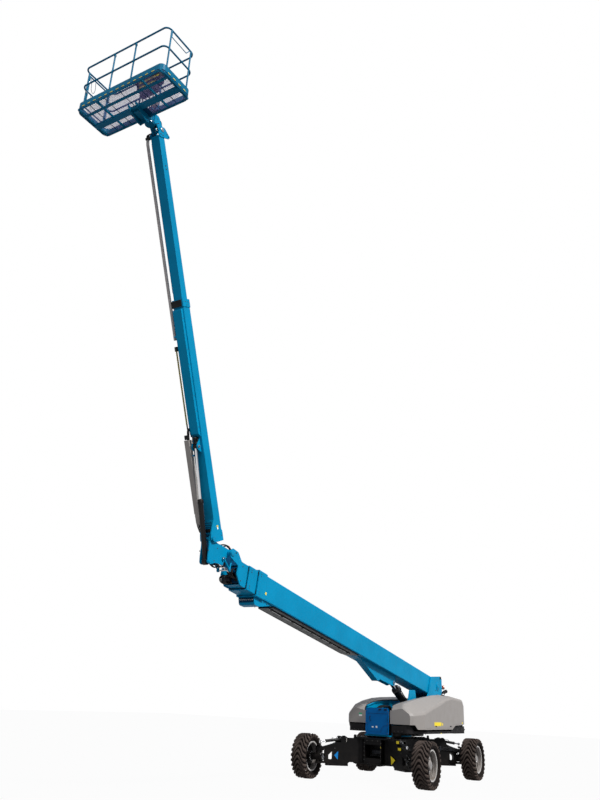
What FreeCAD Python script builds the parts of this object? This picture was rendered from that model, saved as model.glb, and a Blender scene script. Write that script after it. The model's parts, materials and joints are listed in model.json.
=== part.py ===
import FreeCAD, Part
import math
import os

# Telescopic boom lift on four swing-out axle legs, with a telescopic jib and a work platform.
# Millimetres.  +X is forward along the boom, +Y is the machine's left, +Z is up.
# The origin is on the ground under the slewing axis.

V = FreeCAD.Vector

# ---- overall sizes -------------------------------------------------------------------
TRACK = 3500            # between the tyre centres across the undercarriage, legs swung out
WHEELBASE = 4080        # between the tyre centres along the undercarriage, legs swung out
CHASSIS_YAW = 1.95      # undercarriage turned to the left under the boom, degrees
BOOM_ANGLE = 9.57       # primary boom above the horizontal, degrees
JIB_ANGLE = 68.4        # jib above the horizontal, degrees
BASE_LENGTH = 11000     # primary boom's base section, from its pivot to its head
JIB_LENGTH = 5225       # jib's base section, from its pivot to its collar
JIB_OUT = 3705          # jib's fly section showing beyond the collar
JIB_TRAVEL = 3660       # jib's telescope stroke
PLATFORM_WIDTH = 2440   # across the machine
PLATFORM_DEPTH = 910    # along the machine
RAIL_HEIGHT = 1186      # floor's underside to the top of the rails

# ---- clearances ----------------------------------------------------------------------
FIT = 1                 # at a pin or a slid face
ROD_FIT = 0.5           # round a cylinder's rod
EYE_SIDE = 12           # between a rod's eye and each cheek it sits between
GAP = 12                # between weldments that move past each other

# ---- wheels --------------------------------------------------------------------------
TYRE_R = 575
TYRE_W = 445
RIM_R = 362             # rim flange
RIM_W = 330
RIM_WALL = 14
RIM_LIP = 16            # flange above the bead seat
HUB_R = 150
HUB_OUT = 130           # hub cap's face from the wheel's middle

# ---- axle legs and steering knuckles -------------------------------------------------
KINGPIN_OFFSET = 360    # kingpin's axis to the tyre's centre
KINGPIN_R = 34
EAR_R = 88              # a fork ear's rounded end
EAR_LOW = (415, 468)    # heights of the leg's lower and upper fork ears
EAR_HIGH = (740, 832)
FORK_R = 185            # hollow of the fork round the kingpin
DRUM_R = 90             # wheel motor's housing
MOTOR_IN = 140          # motor's end behind the kingpin
LEG_PIVOT = (1280, 430)
LEG_PIN_R = 55
LEG_ROOT_R = 165
LEG_WIDTH = 250
LEG_WALL = 25
TOWER = (440, 680)      # leg's raised box, from its pivot
TOWER_Z = 1100
SKID_Z = (365, 420)     # plate under the leg
STEER_ARM = 170
STEER_ARM_PLATE = 40
STEER_BOSS = 14         # boss above the arm's plate, under the rod's eye
STEER_SIDE = 40         # steering cylinder's foot pin beside the leg's middle line
STEER_FOOT_Z = 1035
STEER_EYE_Z = 960
STEER_STROKE = 118      # each way from straight ahead
STEER_BARREL_R = 38
STEER_ROD_R = 19
STEER_EYE_R = 34

# ---- chassis and slewing ring --------------------------------------------------------
CHASSIS_HALF_X = 1500
CHASSIS_HALF_Y = 620
CHASSIS_Z = (440, 1100)
PLATE = 25
RING_R = 560
RING_HEIGHT = 50
LUG_HOLE_R = 25         # tie-down lugs at the chassis corners
LUG_PLATE = 40

# ---- turret --------------------------------------------------------------------------
DECK = 30               # turret base plate
DECK_END = -1350        # the deck steps up behind here, to pass over the wheels
HIGH_Z = 1250           # underside of all that overhangs the wheels
BAY_HALF = 395          # open bay between the cowls, to the inside of its side plates
BAY_PLATE = 10
RISER_PLATE = 32
BOOM_PIVOT = V(-2950, 0, 2620)
BOOM_PIN_R = 60
PANEL_X = 1100
PANEL_HALF = 355
TAIL_X = -3420

# ---- cowls ---------------------------------------------------------------------------
COWL_IN = 430
COWL_OUT = 1215
COWL_CROWN = 750        # the top's highest line, from the machine's middle
COWL_WALL = 12
COWL_HINGE_Z = (2180, 2125)     # left and right
COWL_NOSE = 1045
NOSE_IN = 375           # nose's return towards the front panel
# stations along a cowl: x, crown height, crease height, outer face
COWL_LEFT = [(COWL_NOSE, 1900, 1770, 985), (960, 2025, 1775, 1060), (500, 2105, 1820, COWL_OUT),
             (-100, 2185, 1960, COWL_OUT), (-730, 2258, 2090, COWL_OUT), (-1270, 2315, 2225, COWL_OUT),
             (-1750, 2340, 2285, COWL_OUT), (-2680, 2335, 2235, COWL_OUT), (-3020, 2215, 2120, 1130),
             (-3290, 2010, 1950, 960)]
COWL_RIGHT = [(COWL_NOSE, 1880, 1750, 915), (960, 1985, 1760, 975), (500, 2085, 1850, 1120),
              (-100, 2165, 1975, COWL_OUT), (-730, 2205, 2060, COWL_OUT), (-1270, 2222, 2120, COWL_OUT),
              (-1750, 2240, 2160, COWL_OUT), (-2680, 2240, 2150, COWL_OUT), (-3020, 2170, 2080, 1130),
              (-3290, 2000, 1930, 960)]

# ---- primary boom --------------------------------------------------------------------
BASE_W = 500
BASE_H = 560
BASE_LOW = -353         # underside of the base section, measured from the pivot line
BASE_WALL = 9
MID_GAP = 18            # between one section and the next
SECTION_WALL = 8
HEAD_STEP = 360         # a section's head beyond the one outside it
HEAD_PLATE = 26         # side plates of the inner section's head
LIFT_EYE_X = 3080       # lift cylinder's rod pin, along the boom
LIFT_EYE_DROP = 177     # and below its underside
LIFT_FOOT = V(-2155, 0, 1350)
LIFT_BARREL_R = 105
LIFT_BARREL = 2250
LIFT_ROD_R = 55

# ---- jib knuckle and jib -------------------------------------------------------------
KNUCKLE_REACH = 320     # knuckle pivot beyond the inner section's end, and above the pivot line
KNUCKLE_RISE = 250
KNUCKLE_HALF = 113      # outside of the knuckle's plates
KNUCKLE_PLATE = 25
KNUCKLE_PIN_R = 45
JIB_AT = (624, 192)     # jib's pivot, cylinder foot and levelling pin, from the knuckle's pivot
JIB_FOOT_AT = (639, -278)
LEVEL_EYE_AT = (249, -228)
LEVEL_FOOT_AT = (80, -150)      # levelling cylinder's foot, beyond the base section's head
LEVEL_BARREL_R = 48
LEVEL_BARREL = 700
LEVEL_ROD_R = 26
JIB_PIN_R = 40
JIB_W = 280
JIB_H = 236
JIB_UNDER = 109         # jib's underside above its pivot, square to the jib
JIB_WALL = 7
FLY_INSET = 22          # fly section inside the base section, all round
JIB_EYE = (1985, 30)    # jib cylinder's rod pin, along the jib and above its pivot
JIB_BARREL_R = 72
JIB_BARREL = 1300
JIB_ROD_R = 40
JIB_CHANNEL = 70        # depth of the hose channel under the jib

# ---- platform ------------------------------------------------------------------------
LEVEL_PIVOT_AT = (150, 266)     # levelling pivot beyond the fly's end, along and above the jib
LEVEL_PIVOT_R = 30
ROTATE_REACH = 270      # rotation axis beyond the levelling pivot
ROTATOR_R = 85
ROTATOR_RISE = (20, 420)        # rotator's foot and top above the levelling pivot
FLOOR_RISE = 110        # floor above the levelling pivot
PLATFORM_GAP = 30       # rotator to the toe board
FLOOR_PLATE = 8
TUBE_R = 19
TOE_HEIGHT = 150
CORNER_R = 120          # platform's rounded corners
POSTS_Y = (-290, 325)   # posts along the platform's long sides
GATE_HALF = 300

RING_Z = (CHASSIS_Z[1], CHASSIS_Z[1] + RING_HEIGHT)
DECK_Z = (RING_Z[1] + 2, RING_Z[1] + 2 + DECK)
RISER_HALF = BASE_W / 2 + GAP
LIFT_EYE = (LIFT_EYE_X, BASE_LOW - LIFT_EYE_DROP)
FLY_W = JIB_W - 2 * FLY_INSET
FLY_H = JIB_H - 2 * FLY_INSET


# ---- helpers -------------------------------------------------------------------------
def block(x, y, z):
    """A box from its limits on each axis, in either order."""
    low = V(min(x), min(y), min(z))
    return Part.makeBox(max(x) - low.x, max(y) - low.y, max(z) - low.z, low)


def rod(start, end, radius):
    """A round bar from one point to another."""
    return Part.makeCylinder(radius, (end - start).Length, start, end - start)


def upright(x, y, z, radius):
    """A round bar standing at a point in plan, between two heights."""
    return rod(V(x, y, z[0]), V(x, y, z[1]), radius)


def across(point, half, radius):
    """A round bar along Y, centred on a point."""
    return rod(point - V(0, half, 0), point + V(0, half, 0), radius)


def ring(start, end, radius, bore):
    """A round sleeve from one point to another."""
    return rod(start, end, radius).cut(rod(start, end, bore))


def outline(points):
    """A closed wire of straight sides; a corner given a third value is rounded to that radius."""
    count = len(points)
    ends = []
    crowns = []
    for i, point in enumerate(points):
        here = V(point[0], point[1], 0)
        before = V(points[i - 1][0], points[i - 1][1], 0)
        after = V(points[(i + 1) % count][0], points[(i + 1) % count][1], 0)
        radius = point[2] if len(point) > 2 else 0
        if not radius:
            ends.append((here, here))
            crowns.append(None)
            continue
        back = (before - here).normalize()
        ahead = (after - here).normalize()
        half = back.getAngle(ahead) / 2
        reach = radius / math.tan(half)
        middle = (back + ahead).normalize()
        ends.append((here + back * reach, here + ahead * reach))
        crowns.append(here + middle * (radius / math.sin(half) - radius))
    edges = []
    for i in range(count):
        if crowns[i] is not None:
            edges.append(Part.Arc(ends[i][0], crowns[i], ends[i][1]).toShape())
        leave = ends[i][1]
        arrive = ends[(i + 1) % count][0]
        if (arrive - leave).Length > 1e-6:
            edges.append(Part.LineSegment(leave, arrive).toShape())
    return Part.Wire(edges)


def slab_xy(points, z):
    """An outline in plan, raised between two heights."""
    shape = Part.Face(outline(points)).extrude(V(0, 0, z[1] - z[0]))
    shape.translate(V(0, 0, z[0]))
    return shape


def slab_xz(points, y):
    """An outline seen from the side, as thick as the span y."""
    shape = Part.Face(outline(points)).extrude(V(0, 0, y[1] - y[0]))
    shape.rotate(V(0, 0, 0), V(1, 0, 0), 90)
    shape.translate(V(0, y[1], 0))
    return shape


def yz_wire(points, x):
    """An outline seen from the front, at one place along X."""
    wire = outline(points)
    wire.rotate(V(0, 0, 0), V(1, 0, 0), 90)
    wire.rotate(V(0, 0, 0), V(0, 0, 1), 90)
    wire.translate(V(x, 0, 0))
    return wire


def slab_yz(points, x):
    """An outline seen from the front, as long as the span x."""
    return Part.Face(yz_wire(points, x[0])).extrude(V(x[1] - x[0], 0, 0))


def rounded(x, y, radius):
    """The corners of a rectangle in plan, each rounded."""
    return [(x[0], y[0], radius), (x[1], y[0], radius), (x[1], y[1], radius), (x[0], y[1], radius)]


def mirrored(shape):
    """A shape's mirror image across the machine's middle plane."""
    return shape.mirror(V(0, 0, 0), V(0, 1, 0))


def both_sides(shape):
    """A shape with its mirror image across the machine's middle plane."""
    return [shape, mirrored(shape)]


def fuse(shapes):
    """One clean solid from several that touch."""
    shapes = list(shapes)
    if len(shapes) == 1:
        return shapes[0]
    return shapes[0].multiFuse(shapes[1:]).removeSplitter()


def tube_section(x, width, low, high, wall, corner):
    """A hollow box section along X, with rounded corners."""
    half = width / 2
    outer = slab_yz(rounded((-half, half), (low, high), corner), x)
    inner = slab_yz(rounded((wall - half, half - wall), (low + wall, high - wall), max(corner - wall, 2)),
                    (x[0] - 1, x[1] + 1))
    return outer.cut(inner)


def tilt(shape, angle, point):
    """Turns a shape drawn level about the origin up by an angle, and puts its origin at a point."""
    shape = shape.copy()
    shape.rotate(V(0, 0, 0), V(0, 1, 0), -angle)
    shape.translate(point)
    return shape


def along(angle, point, forward, up):
    """The place of a point given along and square to a line that rises at an angle from another."""
    a = math.radians(angle)
    return V(point.x + forward * math.cos(a) - up * math.sin(a), point.y,
             point.z + forward * math.sin(a) + up * math.cos(a))


INNER_HEAD = BASE_LENGTH + 2 * HEAD_STEP
KNUCKLE_PIVOT = along(BOOM_ANGLE, BOOM_PIVOT, INNER_HEAD + KNUCKLE_REACH, KNUCKLE_RISE)
JIB_PIVOT = KNUCKLE_PIVOT + V(JIB_AT[0], 0, JIB_AT[1])
JIB_FOOT = KNUCKLE_PIVOT + V(JIB_FOOT_AT[0], 0, JIB_FOOT_AT[1])
LEVEL_EYE = KNUCKLE_PIVOT + V(LEVEL_EYE_AT[0], 0, LEVEL_EYE_AT[1])
LEVEL_PIVOT = along(JIB_ANGLE, JIB_PIVOT, JIB_LENGTH + JIB_OUT + LEVEL_PIVOT_AT[0], LEVEL_PIVOT_AT[1])
ROTATE_X = LEVEL_PIVOT.x + ROTATE_REACH
ROTATOR_Z = (LEVEL_PIVOT.z + ROTATOR_RISE[0], LEVEL_PIVOT.z + ROTATOR_RISE[1])
FLOOR_Z = LEVEL_PIVOT.z + FLOOR_RISE
PLATFORM_X = (ROTATE_X + ROTATOR_R + PLATFORM_GAP, ROTATE_X + ROTATOR_R + PLATFORM_GAP + PLATFORM_DEPTH)


def on_boom(shape):
    """Places a shape drawn along the boom from its pivot."""
    return tilt(shape, BOOM_ANGLE, BOOM_PIVOT)


def on_jib(shape):
    """Places a shape drawn along the jib from its pivot."""
    return tilt(shape, JIB_ANGLE, JIB_PIVOT)


def save(name, shapes, yaw=0):
    """Writes a node's solids to its file, turned with the undercarriage where that is asked."""
    solids = shapes if isinstance(shapes, list) else [shapes]
    shape = solids[0] if len(solids) == 1 else Part.makeCompound(solids)
    if yaw:
        shape = shape.copy()
        shape.rotate(V(0, 0, 0), V(0, 0, 1), yaw)
    shape.exportStep("parts/" + name + ".step")


# ---- undercarriage -------------------------------------------------------------------
def chassis_frame():
    """Box chassis with a pocket at each corner for a leg's root, its pin and a tie-down lug."""
    px, py = LEG_PIVOT
    low, high = CHASSIS_Z
    front = CHASSIS_HALF_X
    half = CHASSIS_HALF_Y
    inner_x = px - LEG_ROOT_R - GAP
    post = py - LEG_ROOT_R - GAP
    pocket_z = (low + PLATE, high - PLATE)
    frame = slab_xy(rounded((-front, front), (-half, half), 120), CHASSIS_Z)
    bay_x = inner_x - PLATE
    bay_y = half - PLATE
    frame = frame.cut(block((-bay_x, bay_x), (-bay_y, bay_y), pocket_z))
    frame = frame.cut(upright(0, 0, (high - PLATE - 5, high + 5), RING_R - 160))
    nose_in = inner_x + PLATE
    for sx in (1, -1):
        frame = frame.cut(block((sx * nose_in, sx * (front + 5)), (PLATE - post, post - PLATE),
                                (low + 160, high - 160)))
        for sy in (1, -1):
            frame = frame.cut(block((sx * inner_x, sx * (front + 60)), (sy * post, sy * (half + 60)),
                                    pocket_z))
            frame = frame.fuse(upright(sx * px, sy * py, (low - 12, high + 12), LEG_PIN_R))
            frame = frame.fuse(upright(sx * px, sy * py, (high - 1, high + 20), LEG_PIN_R + 45))
            lug = slab_xz([(-60, -2), (60, -2), (45, 70, 30), (-45, 70, 30)], (-LUG_PLATE / 2, LUG_PLATE / 2))
            lug = lug.cut(across(V(0, 0, 34), LUG_PLATE, LUG_HOLE_R))
            lug.translate(V(sx * (front - 75), sy * (half - 60), high))
            frame = frame.fuse(lug)
    return frame.removeSplitter()


def slew_ring():
    """Slewing bearing, with the groove between its two rings."""
    outer = ring(V(0, 0, RING_Z[0]), V(0, 0, RING_Z[1]), RING_R, RING_R - 150)
    middle = (RING_Z[0] + RING_Z[1]) / 2
    groove = ring(V(0, 0, middle - 4), V(0, 0, middle + 4), RING_R + 5, RING_R - 14)
    return outer.cut(groove)


def leg_points(sx, sy):
    """Leg pivot and kingpin of one corner, in plan."""
    pivot = V(sx * LEG_PIVOT[0], sy * LEG_PIVOT[1], 0)
    king = V(sx * WHEELBASE / 2, sy * (TRACK / 2 - KINGPIN_OFFSET), 0)
    return pivot, king


def axle_leg(sx, sy):
    """Leg from its root in the chassis to the fork round its kingpin, drawn along X from its pivot."""
    pivot, king = leg_points(sx, sy)
    run = king - pivot
    reach = run.Length
    low, high = CHASSIS_Z
    root_z = (low + PLATE + FIT, high - PLATE - FIT)
    half = LEG_WIDTH / 2
    slim = half - 50
    plan = [(0, -half - 30), (reach * 0.35, -half), (reach - 100, -slim), (reach, -slim),
            (reach, slim), (reach - 100, slim), (reach * 0.35, half), (0, half + 30)]
    side = [(-400, root_z[0]), (TOWER[0] - 60, root_z[0]), (TOWER[0] - 10, EAR_LOW[0]),
            (reach + 200, EAR_LOW[0]), (reach + 200, EAR_HIGH[1]), (reach - 115, EAR_HIGH[1], 60),
            (reach - 325, 890, 80), (reach - 435, 925, 60), (TOWER[1] + 60, 950, 40), (TOWER[1], TOWER_Z, 20),
            (TOWER[0], TOWER_Z, 20), (TOWER[0] - 15, root_z[1]), (-400, root_z[1])]
    leg = slab_xy(plan, (EAR_LOW[0], TOWER_Z)).common(slab_xz(side, (-400, 400)))
    leg = leg.fuse(upright(0, 0, root_z, LEG_ROOT_R))
    leg = leg.fuse(upright(reach, 0, (EAR_LOW[0], EAR_HIGH[1]), EAR_R))
    leg = leg.fuse(slab_xy(rounded((TOWER[0] - 40, reach - 205), (-slim - 35, slim + 35), 30), SKID_Z))
    inside = [(LEG_ROOT_R + 10, LEG_WALL - half), (reach - 420, LEG_WALL - slim - 20),
              (reach - 420, slim + 20 - LEG_WALL), (LEG_ROOT_R + 10, half - LEG_WALL)]
    leg = leg.cut(slab_xy(inside, (root_z[0] + LEG_WALL, 890)))
    leg = leg.cut(block((TOWER[0] + LEG_WALL, TOWER[1] + 80), (LEG_WALL - half + 5, half - LEG_WALL - 5),
                        (955, TOWER_Z - LEG_WALL)))
    leg = leg.cut(block((TOWER[1] - 70, TOWER[1] + 80), (0, -sx * sy * LEG_WIDTH), (955, TOWER_Z - LEG_WALL)))
    window = [(reach - 394, 750, 25), (reach - 264, 630, 25), (reach - 264, 520, 25), (reach - 394, 510, 25)]
    leg = leg.cut(slab_xz(window, (-400, 400)))
    leg = leg.cut(upright(reach, 0, (EAR_LOW[1], EAR_HIGH[0]), FORK_R))
    leg = leg.cut(upright(0, 0, (low - 40, high + 40), LEG_PIN_R + FIT))
    leg = leg.cut(upright(reach, 0, (EAR_LOW[0] - 5, EAR_HIGH[1] + 5), KINGPIN_R + FIT))
    foot = steer_foot()
    leg = leg.fuse(upright(foot.x, -sx * sy * foot.y, (940, TOWER_Z), 18))
    leg.rotate(V(0, 0, 0), V(0, 0, 1), math.degrees(math.atan2(run.y, run.x)))
    leg.translate(pivot)
    return leg.removeSplitter()


def steer_foot():
    """Steering cylinder's foot pin, along the leg from its pivot and beside its middle line."""
    return V(TOWER[1] - 80, STEER_SIDE, STEER_FOOT_Z)


def steer_line(sx, sy):
    """Foot pin and rod eye of one corner's steering cylinder."""
    pivot, king = leg_points(sx, sy)
    ahead = (king - pivot).normalize()
    side = V(ahead.y, -ahead.x, 0) * (sx * sy)
    foot = steer_foot()
    return (pivot + ahead * foot.x + side * foot.y + V(0, 0, foot.z),
            king + side * STEER_ARM + V(0, 0, STEER_EYE_Z))


def steering_knuckle(sx, sy):
    """Knuckle between the fork's ears, with the wheel motor's housing and the steering arm on top."""
    king = leg_points(sx, sy)[1]
    eye = steer_line(sx, sy)[1]
    axle = V(king.x, king.y, TYRE_R)
    outward = V(0, sy, 0)
    arm_z = (EAR_HIGH[1] + GAP, EAR_HIGH[1] + GAP + STEER_ARM_PLATE)
    parts = [upright(king.x, king.y, (EAR_LOW[1] + FIT, EAR_HIGH[0] - FIT), 70),
             upright(king.x, king.y, (EAR_LOW[0] + 2, arm_z[1]), KINGPIN_R),
             rod(axle - outward * MOTOR_IN, axle + outward * (KINGPIN_OFFSET - 70), DRUM_R),
             rod(axle - outward * (MOTOR_IN - 20), axle - outward * (MOTOR_IN - 50), DRUM_R + 10),
             rod(axle + outward * (KINGPIN_OFFSET - 150), axle + outward * (KINGPIN_OFFSET - 110),
                 DRUM_R + 45),
             rod(axle + outward * (KINGPIN_OFFSET - 110), axle + outward * (KINGPIN_OFFSET + 20), HUB_R - 25)]
    reach = eye - king
    arm = slab_xy([(-55, -60, 30), (STEER_ARM, -STEER_EYE_R), (STEER_ARM, STEER_EYE_R), (-55, 60, 30)], arm_z)
    arm.rotate(V(0, 0, 0), V(0, 0, 1), math.degrees(math.atan2(reach.y, reach.x)))
    arm.translate(V(king.x, king.y, 0))
    parts.append(arm)
    parts.append(upright(eye.x, eye.y, (arm_z[0], arm_z[1] + STEER_BOSS), STEER_EYE_R))
    return fuse(parts)


def steer_barrel_end(foot, eye):
    """Barrel's length from its foot, so that the rod's eye clears it with the rod drawn in."""
    return (eye - foot).Length - STEER_STROKE - STEER_EYE_R - GAP


def steer_cylinder(sx, sy):
    """Steering cylinder's barrel, on the side of the leg's tower."""
    foot, eye = steer_line(sx, sy)
    line = (eye - foot).normalize()
    end = steer_barrel_end(foot, eye)
    body = fuse([rod(foot + line * 55, foot + line * end, STEER_BARREL_R), rod(foot, foot + line * 80, 24),
                 rod(foot + line * (end - 30), foot + line * end, STEER_BARREL_R + 4),
                 upright(foot.x, foot.y, (foot.z - 30, foot.z + 30), 36)])
    body = body.cut(upright(foot.x, foot.y, (foot.z - 90, foot.z + 90), 18 + FIT))
    return body.cut(rod(foot + line * 85, eye, STEER_ROD_R + ROD_FIT))


def steer_rod(sx, sy):
    """Steering cylinder's rod, whose eye stands over the knuckle's arm."""
    foot, eye = steer_line(sx, sy)
    line = (eye - foot).normalize()
    end = steer_barrel_end(foot, eye)
    dip = STEER_STROKE * (foot.z - eye.z) / (eye - foot).Length
    boss_top = EAR_HIGH[1] + GAP + STEER_ARM_PLATE + STEER_BOSS
    return fuse([rod(foot + line * (end - STEER_STROKE - 90), eye - line * 20, STEER_ROD_R),
                 upright(eye.x, eye.y, (eye.z - 26, eye.z + 26), STEER_EYE_R),
                 upright(eye.x, eye.y, (boss_top + dip + 6, eye.z + 38), 16)])


def wheel_profile(points, sx, sy):
    """A wheel part from its half section: radius and distance outward from the tyre's centre."""
    shape = Part.Face(outline(points)).revolve(V(0, 0, 0), V(0, 1, 0), 360)
    if sy < 0:
        shape = mirrored(shape)
    shape.translate(V(sx * WHEELBASE / 2, sy * TRACK / 2, TYRE_R))
    return shape


def tyre(sx, sy):
    """Tyre's carcass up to the tread's outer face."""
    half = TYRE_W / 2
    bead = RIM_W / 2 - RIM_WALL
    seat = RIM_R - 4
    section = [(seat, -bead), (RIM_R + RIM_LIP + 1, -bead), (RIM_R + 60, 8 - half, 40),
               (TYRE_R - 70, -half, 60),
               (TYRE_R, 28 - half, 30), (TYRE_R, half - 28, 30), (TYRE_R - 70, half, 60),
               (RIM_R + 60, half - 8, 40), (RIM_R + RIM_LIP + 1, bead), (seat, bead)]
    return wheel_profile(section, sx, sy)


def rim(sx, sy):
    """Dished disc wheel with its flanges and hub cap."""
    half = RIM_W / 2
    seat = RIM_R - 4
    lip = RIM_R + RIM_LIP
    barrel = seat - RIM_WALL
    section = [(seat, RIM_WALL - half), (lip, RIM_WALL - half), (lip, -half), (barrel, -half), (barrel, 0),
               (HUB_R + 50, 40, 30), (HUB_R - 24, 40), (HUB_R - 24, 60), (HUB_R + 40, 60, 20), (barrel, 22),
               (barrel, half), (lip, half), (lip, half - RIM_WALL), (seat, half - RIM_WALL)]
    hub = [(0, 24), (HUB_R - 23, 24), (HUB_R - 23, 60), (HUB_R - 50, HUB_OUT, 15), (0, HUB_OUT)]
    return fuse([wheel_profile(section, sx, sy), wheel_profile(hub, sx, sy)])


# ---- turret --------------------------------------------------------------------------
def turret_frame():
    """Base plate, the open bay's side plates and the two risers that carry the boom."""
    front = PANEL_X - 20
    wall_x = -1990
    outer = BAY_HALF + BAY_PLATE
    parts = [slab_xy([(front, outer, 30), (DECK_END, outer), (DECK_END, -outer), (front, -outer, 30)],
                     DECK_Z),
             upright(0, 0, (DECK_Z[0] - 1.5, DECK_Z[1]), RING_R - 20),
             slab_xy([(DECK_END - 40, outer), (wall_x - 10, outer), (wall_x - 10, 700, 60),
                      (TAIL_X + 40, 700, 60),
                      (TAIL_X + 40, -700, 60), (wall_x - 10, -700, 60), (wall_x - 10, -outer),
                      (DECK_END - 40, -outer)], (HIGH_Z, HIGH_Z + DECK))]
    well = block((LIFT_FOOT.x - 150, LIFT_FOOT.x + 350), (-130, 130), (HIGH_Z - 5, HIGH_Z + DECK + 5))
    parts[2] = parts[2].cut(well)
    edge = [(COWL_NOSE - 85, 1950), (470, 2045), (-410, 2110)]
    wall = [(edge[0][0], DECK_Z[0]), (*edge[0], 40), (*edge[1], 200), (*edge[2], 400), (-1600, 2110, 100),
            (wall_x, 2050), (wall_x, HIGH_Z), (DECK_END - 60, HIGH_Z), (DECK_END, DECK_Z[0])]
    parts += both_sides(slab_xz(wall, (BAY_HALF, outer)))
    px, pz = BOOM_PIVOT.x, BOOM_PIVOT.z
    back = [(-1900, 2180, 150), (px + 800, pz - 220, 120), (px + 550, pz + 280, 80),
            (px - 280, pz + 325, 90),
            (px - 380, pz + 240, 60), (px - 395, 1500, 20), (px - 300, 1470, 10), (px - 300, HIGH_Z),
            (DECK_END - 60, HIGH_Z), (DECK_END, DECK_Z[0])]
    near = [(-300, DECK_Z[0]), (-480, 2100, 80), (-620, 2430, 60), (-1030, 2450, 80), (-1090, 2180, 60)]
    far = [(-700, DECK_Z[0]), (-1120, 2180, 120)]
    half = RISER_HALF + RISER_PLATE
    parts.append(slab_xz(near + back, (RISER_HALF, half)))
    parts.append(slab_xz(far + back, (-half, -RISER_HALF)))
    parts.append(block((px - 395, px - 375), (-half, half), (2060, 2200)))
    parts.append(block((-900, -880), (-half, half), (DECK_Z[1] - 2, 1420)))
    parts.append(block((300, 310), (-BAY_HALF - 5, BAY_HALF + 5), (DECK_Z[1] - 2, 1620)))
    lip = [(x, z - 12) for x, z in edge] + [(x, z - 27) for x, z in reversed(edge)]
    parts += both_sides(slab_xz(lip, (BAY_HALF - 30, BAY_HALF + 1)))
    frame = fuse(parts)
    reach = half + 16
    for side in (1, -1):
        frame = frame.fuse(rod(V(px, side * RISER_HALF, pz), V(px, side * reach, pz), BOOM_PIN_R + 70))
    frame = frame.fuse(across(BOOM_PIVOT, reach, BOOM_PIN_R))
    frame = frame.fuse(across(LIFT_FOOT, RISER_HALF + 5, 45))
    return frame.removeSplitter()


def front_panel():
    """Panel across the turret's nose, with a shallow door pressed into it."""
    z = (1190, 1890)
    panel = slab_yz([(-PANEL_HALF, z[0], 30), (PANEL_HALF, z[0], 30), (PANEL_HALF, z[1], 60),
                     (-PANEL_HALF, z[1], 60)], (PANEL_X - 18, PANEL_X + 12))
    door = [(-PANEL_HALF + 60, z[0] + 60, 30), (PANEL_HALF - 230, z[0] + 60, 30),
            (PANEL_HALF - 130, 1420, 60),
            (PANEL_HALF - 20, 1420, 10), (PANEL_HALF - 20, 1735, 10), (-PANEL_HALF + 60, 1735, 30)]
    groove = slab_yz(door, (PANEL_X + 7, PANEL_X + 20))
    raised = slab_yz([(y * 0.97, z[0] + 12 + (h - z[0]) * 0.985, *rest) for y, h, *rest in door],
                     (PANEL_X + 6, PANEL_X + 21))
    return panel.cut(groove.cut(raised))


def side_trays():
    """Belly trays under the cowls, lower between the steps of the cowls' edges."""
    inner = COWL_IN - 10
    outer = COWL_OUT - 30
    front = PANEL_X - 60
    rear = -1990
    low, high = HIGH_Z + 10, 1450
    tray = slab_xy([(front, inner), (rear, inner), (rear, outer, 30), (300, outer, 200), (front, 900, 120)],
                   (low, high))
    inside = [(front - 15, inner + 15), (rear + 15, inner + 15), (rear + 15, outer - 15, 20),
              (295, outer - 15, 190),
              (front - 15, 885, 110)]
    tray = tray.cut(slab_xy(inside, (low + 12, high + 50)))
    step = slab_xz([(900, high), (790, 1325, 20), (-1620, 1325, 20), (-1900, high), (-1900, 1600),
                    (900, 1600)],
                   (inner + 22, COWL_OUT + 40))
    tray = tray.cut(step)
    lugs = [block((x - 40, x + 40), (BAY_HALF + BAY_PLATE, inner + 5), (low, low + 40)) for x in (700, -300,
                                                                                                  -1500)]
    return both_sides(fuse([tray] + lugs))


def counterweight():
    """Cast tail weight, stepped round the risers, with its upper blocks under the cowls' rear."""
    nose = -2022
    half = COWL_OUT - 65
    plan = [(nose, half, 60), (-3000, half, 260), (TAIL_X, half - 380, 200), (TAIL_X, 380 - half, 200),
            (-3000, -half, 260), (nose, -half, 60)]
    weight = slab_xy(plan, (HIGH_Z, 1455))
    weight = weight.cut(block((TAIL_X - 50, nose + 50), (-705, 705), (HIGH_Z - 50, HIGH_Z + DECK)))
    tail = BOOM_PIVOT.x - 370
    beside = RISER_HALF + RISER_PLATE + 26
    weight = weight.fuse(block((tail, -2330), (-RISER_HALF, RISER_HALF), (1440, 2050)))
    for side in (1, -1):
        weight = weight.fuse(slab_xy([(-2300, side * beside), (-2300, side * 1100), (-2950, side * 1100),
                                      (tail + 110, side * 850), (tail + 110, side * beside)], (1440, 1800)))
        inner = side * (RISER_HALF - FIT)
        outer = side * (RISER_HALF + RISER_PLATE + FIT)
        weight = weight.cut(block((BOOM_PIVOT.x - 302, nose + 200), (inner, outer), (HIGH_Z - 5, 1500)))
    weight = weight.cut(across(LIFT_FOOT, RISER_HALF + 5, 150))
    return weight.cut(block((-2330, nose + 200), (-RISER_HALF, RISER_HALF), (HIGH_Z - 50, 1500)))


def engine_block():
    """Engine under the right-hand cowl, as one plain block."""
    return block((-1350, -400), (-1040, -540), (HIGH_Z + 24, 1900))


def cowl_loft(stations, inset):
    """A cowl's bulk through its stations, or the hollow inside its wall when an inset is given."""
    wires = []
    last = len(stations) - 1
    for i, (x, crown, crease, outer) in enumerate(stations):
        if inset:
            x += inset * ((i == last) - (i == 0))
        points = [(COWL_IN - 3 * inset, 1200 - inset), (outer - inset, 1200 - inset),
                  (outer - inset, crease - inset - 60, 40), (outer - 35 - inset, crease - inset, 60),
                  (COWL_CROWN, crown - inset, 90), (COWL_IN - 3 * inset, crown - 60 - inset)]
        wires.append(yz_wire(points, x))
    return Part.makeLoft(wires, True, True)


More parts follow.
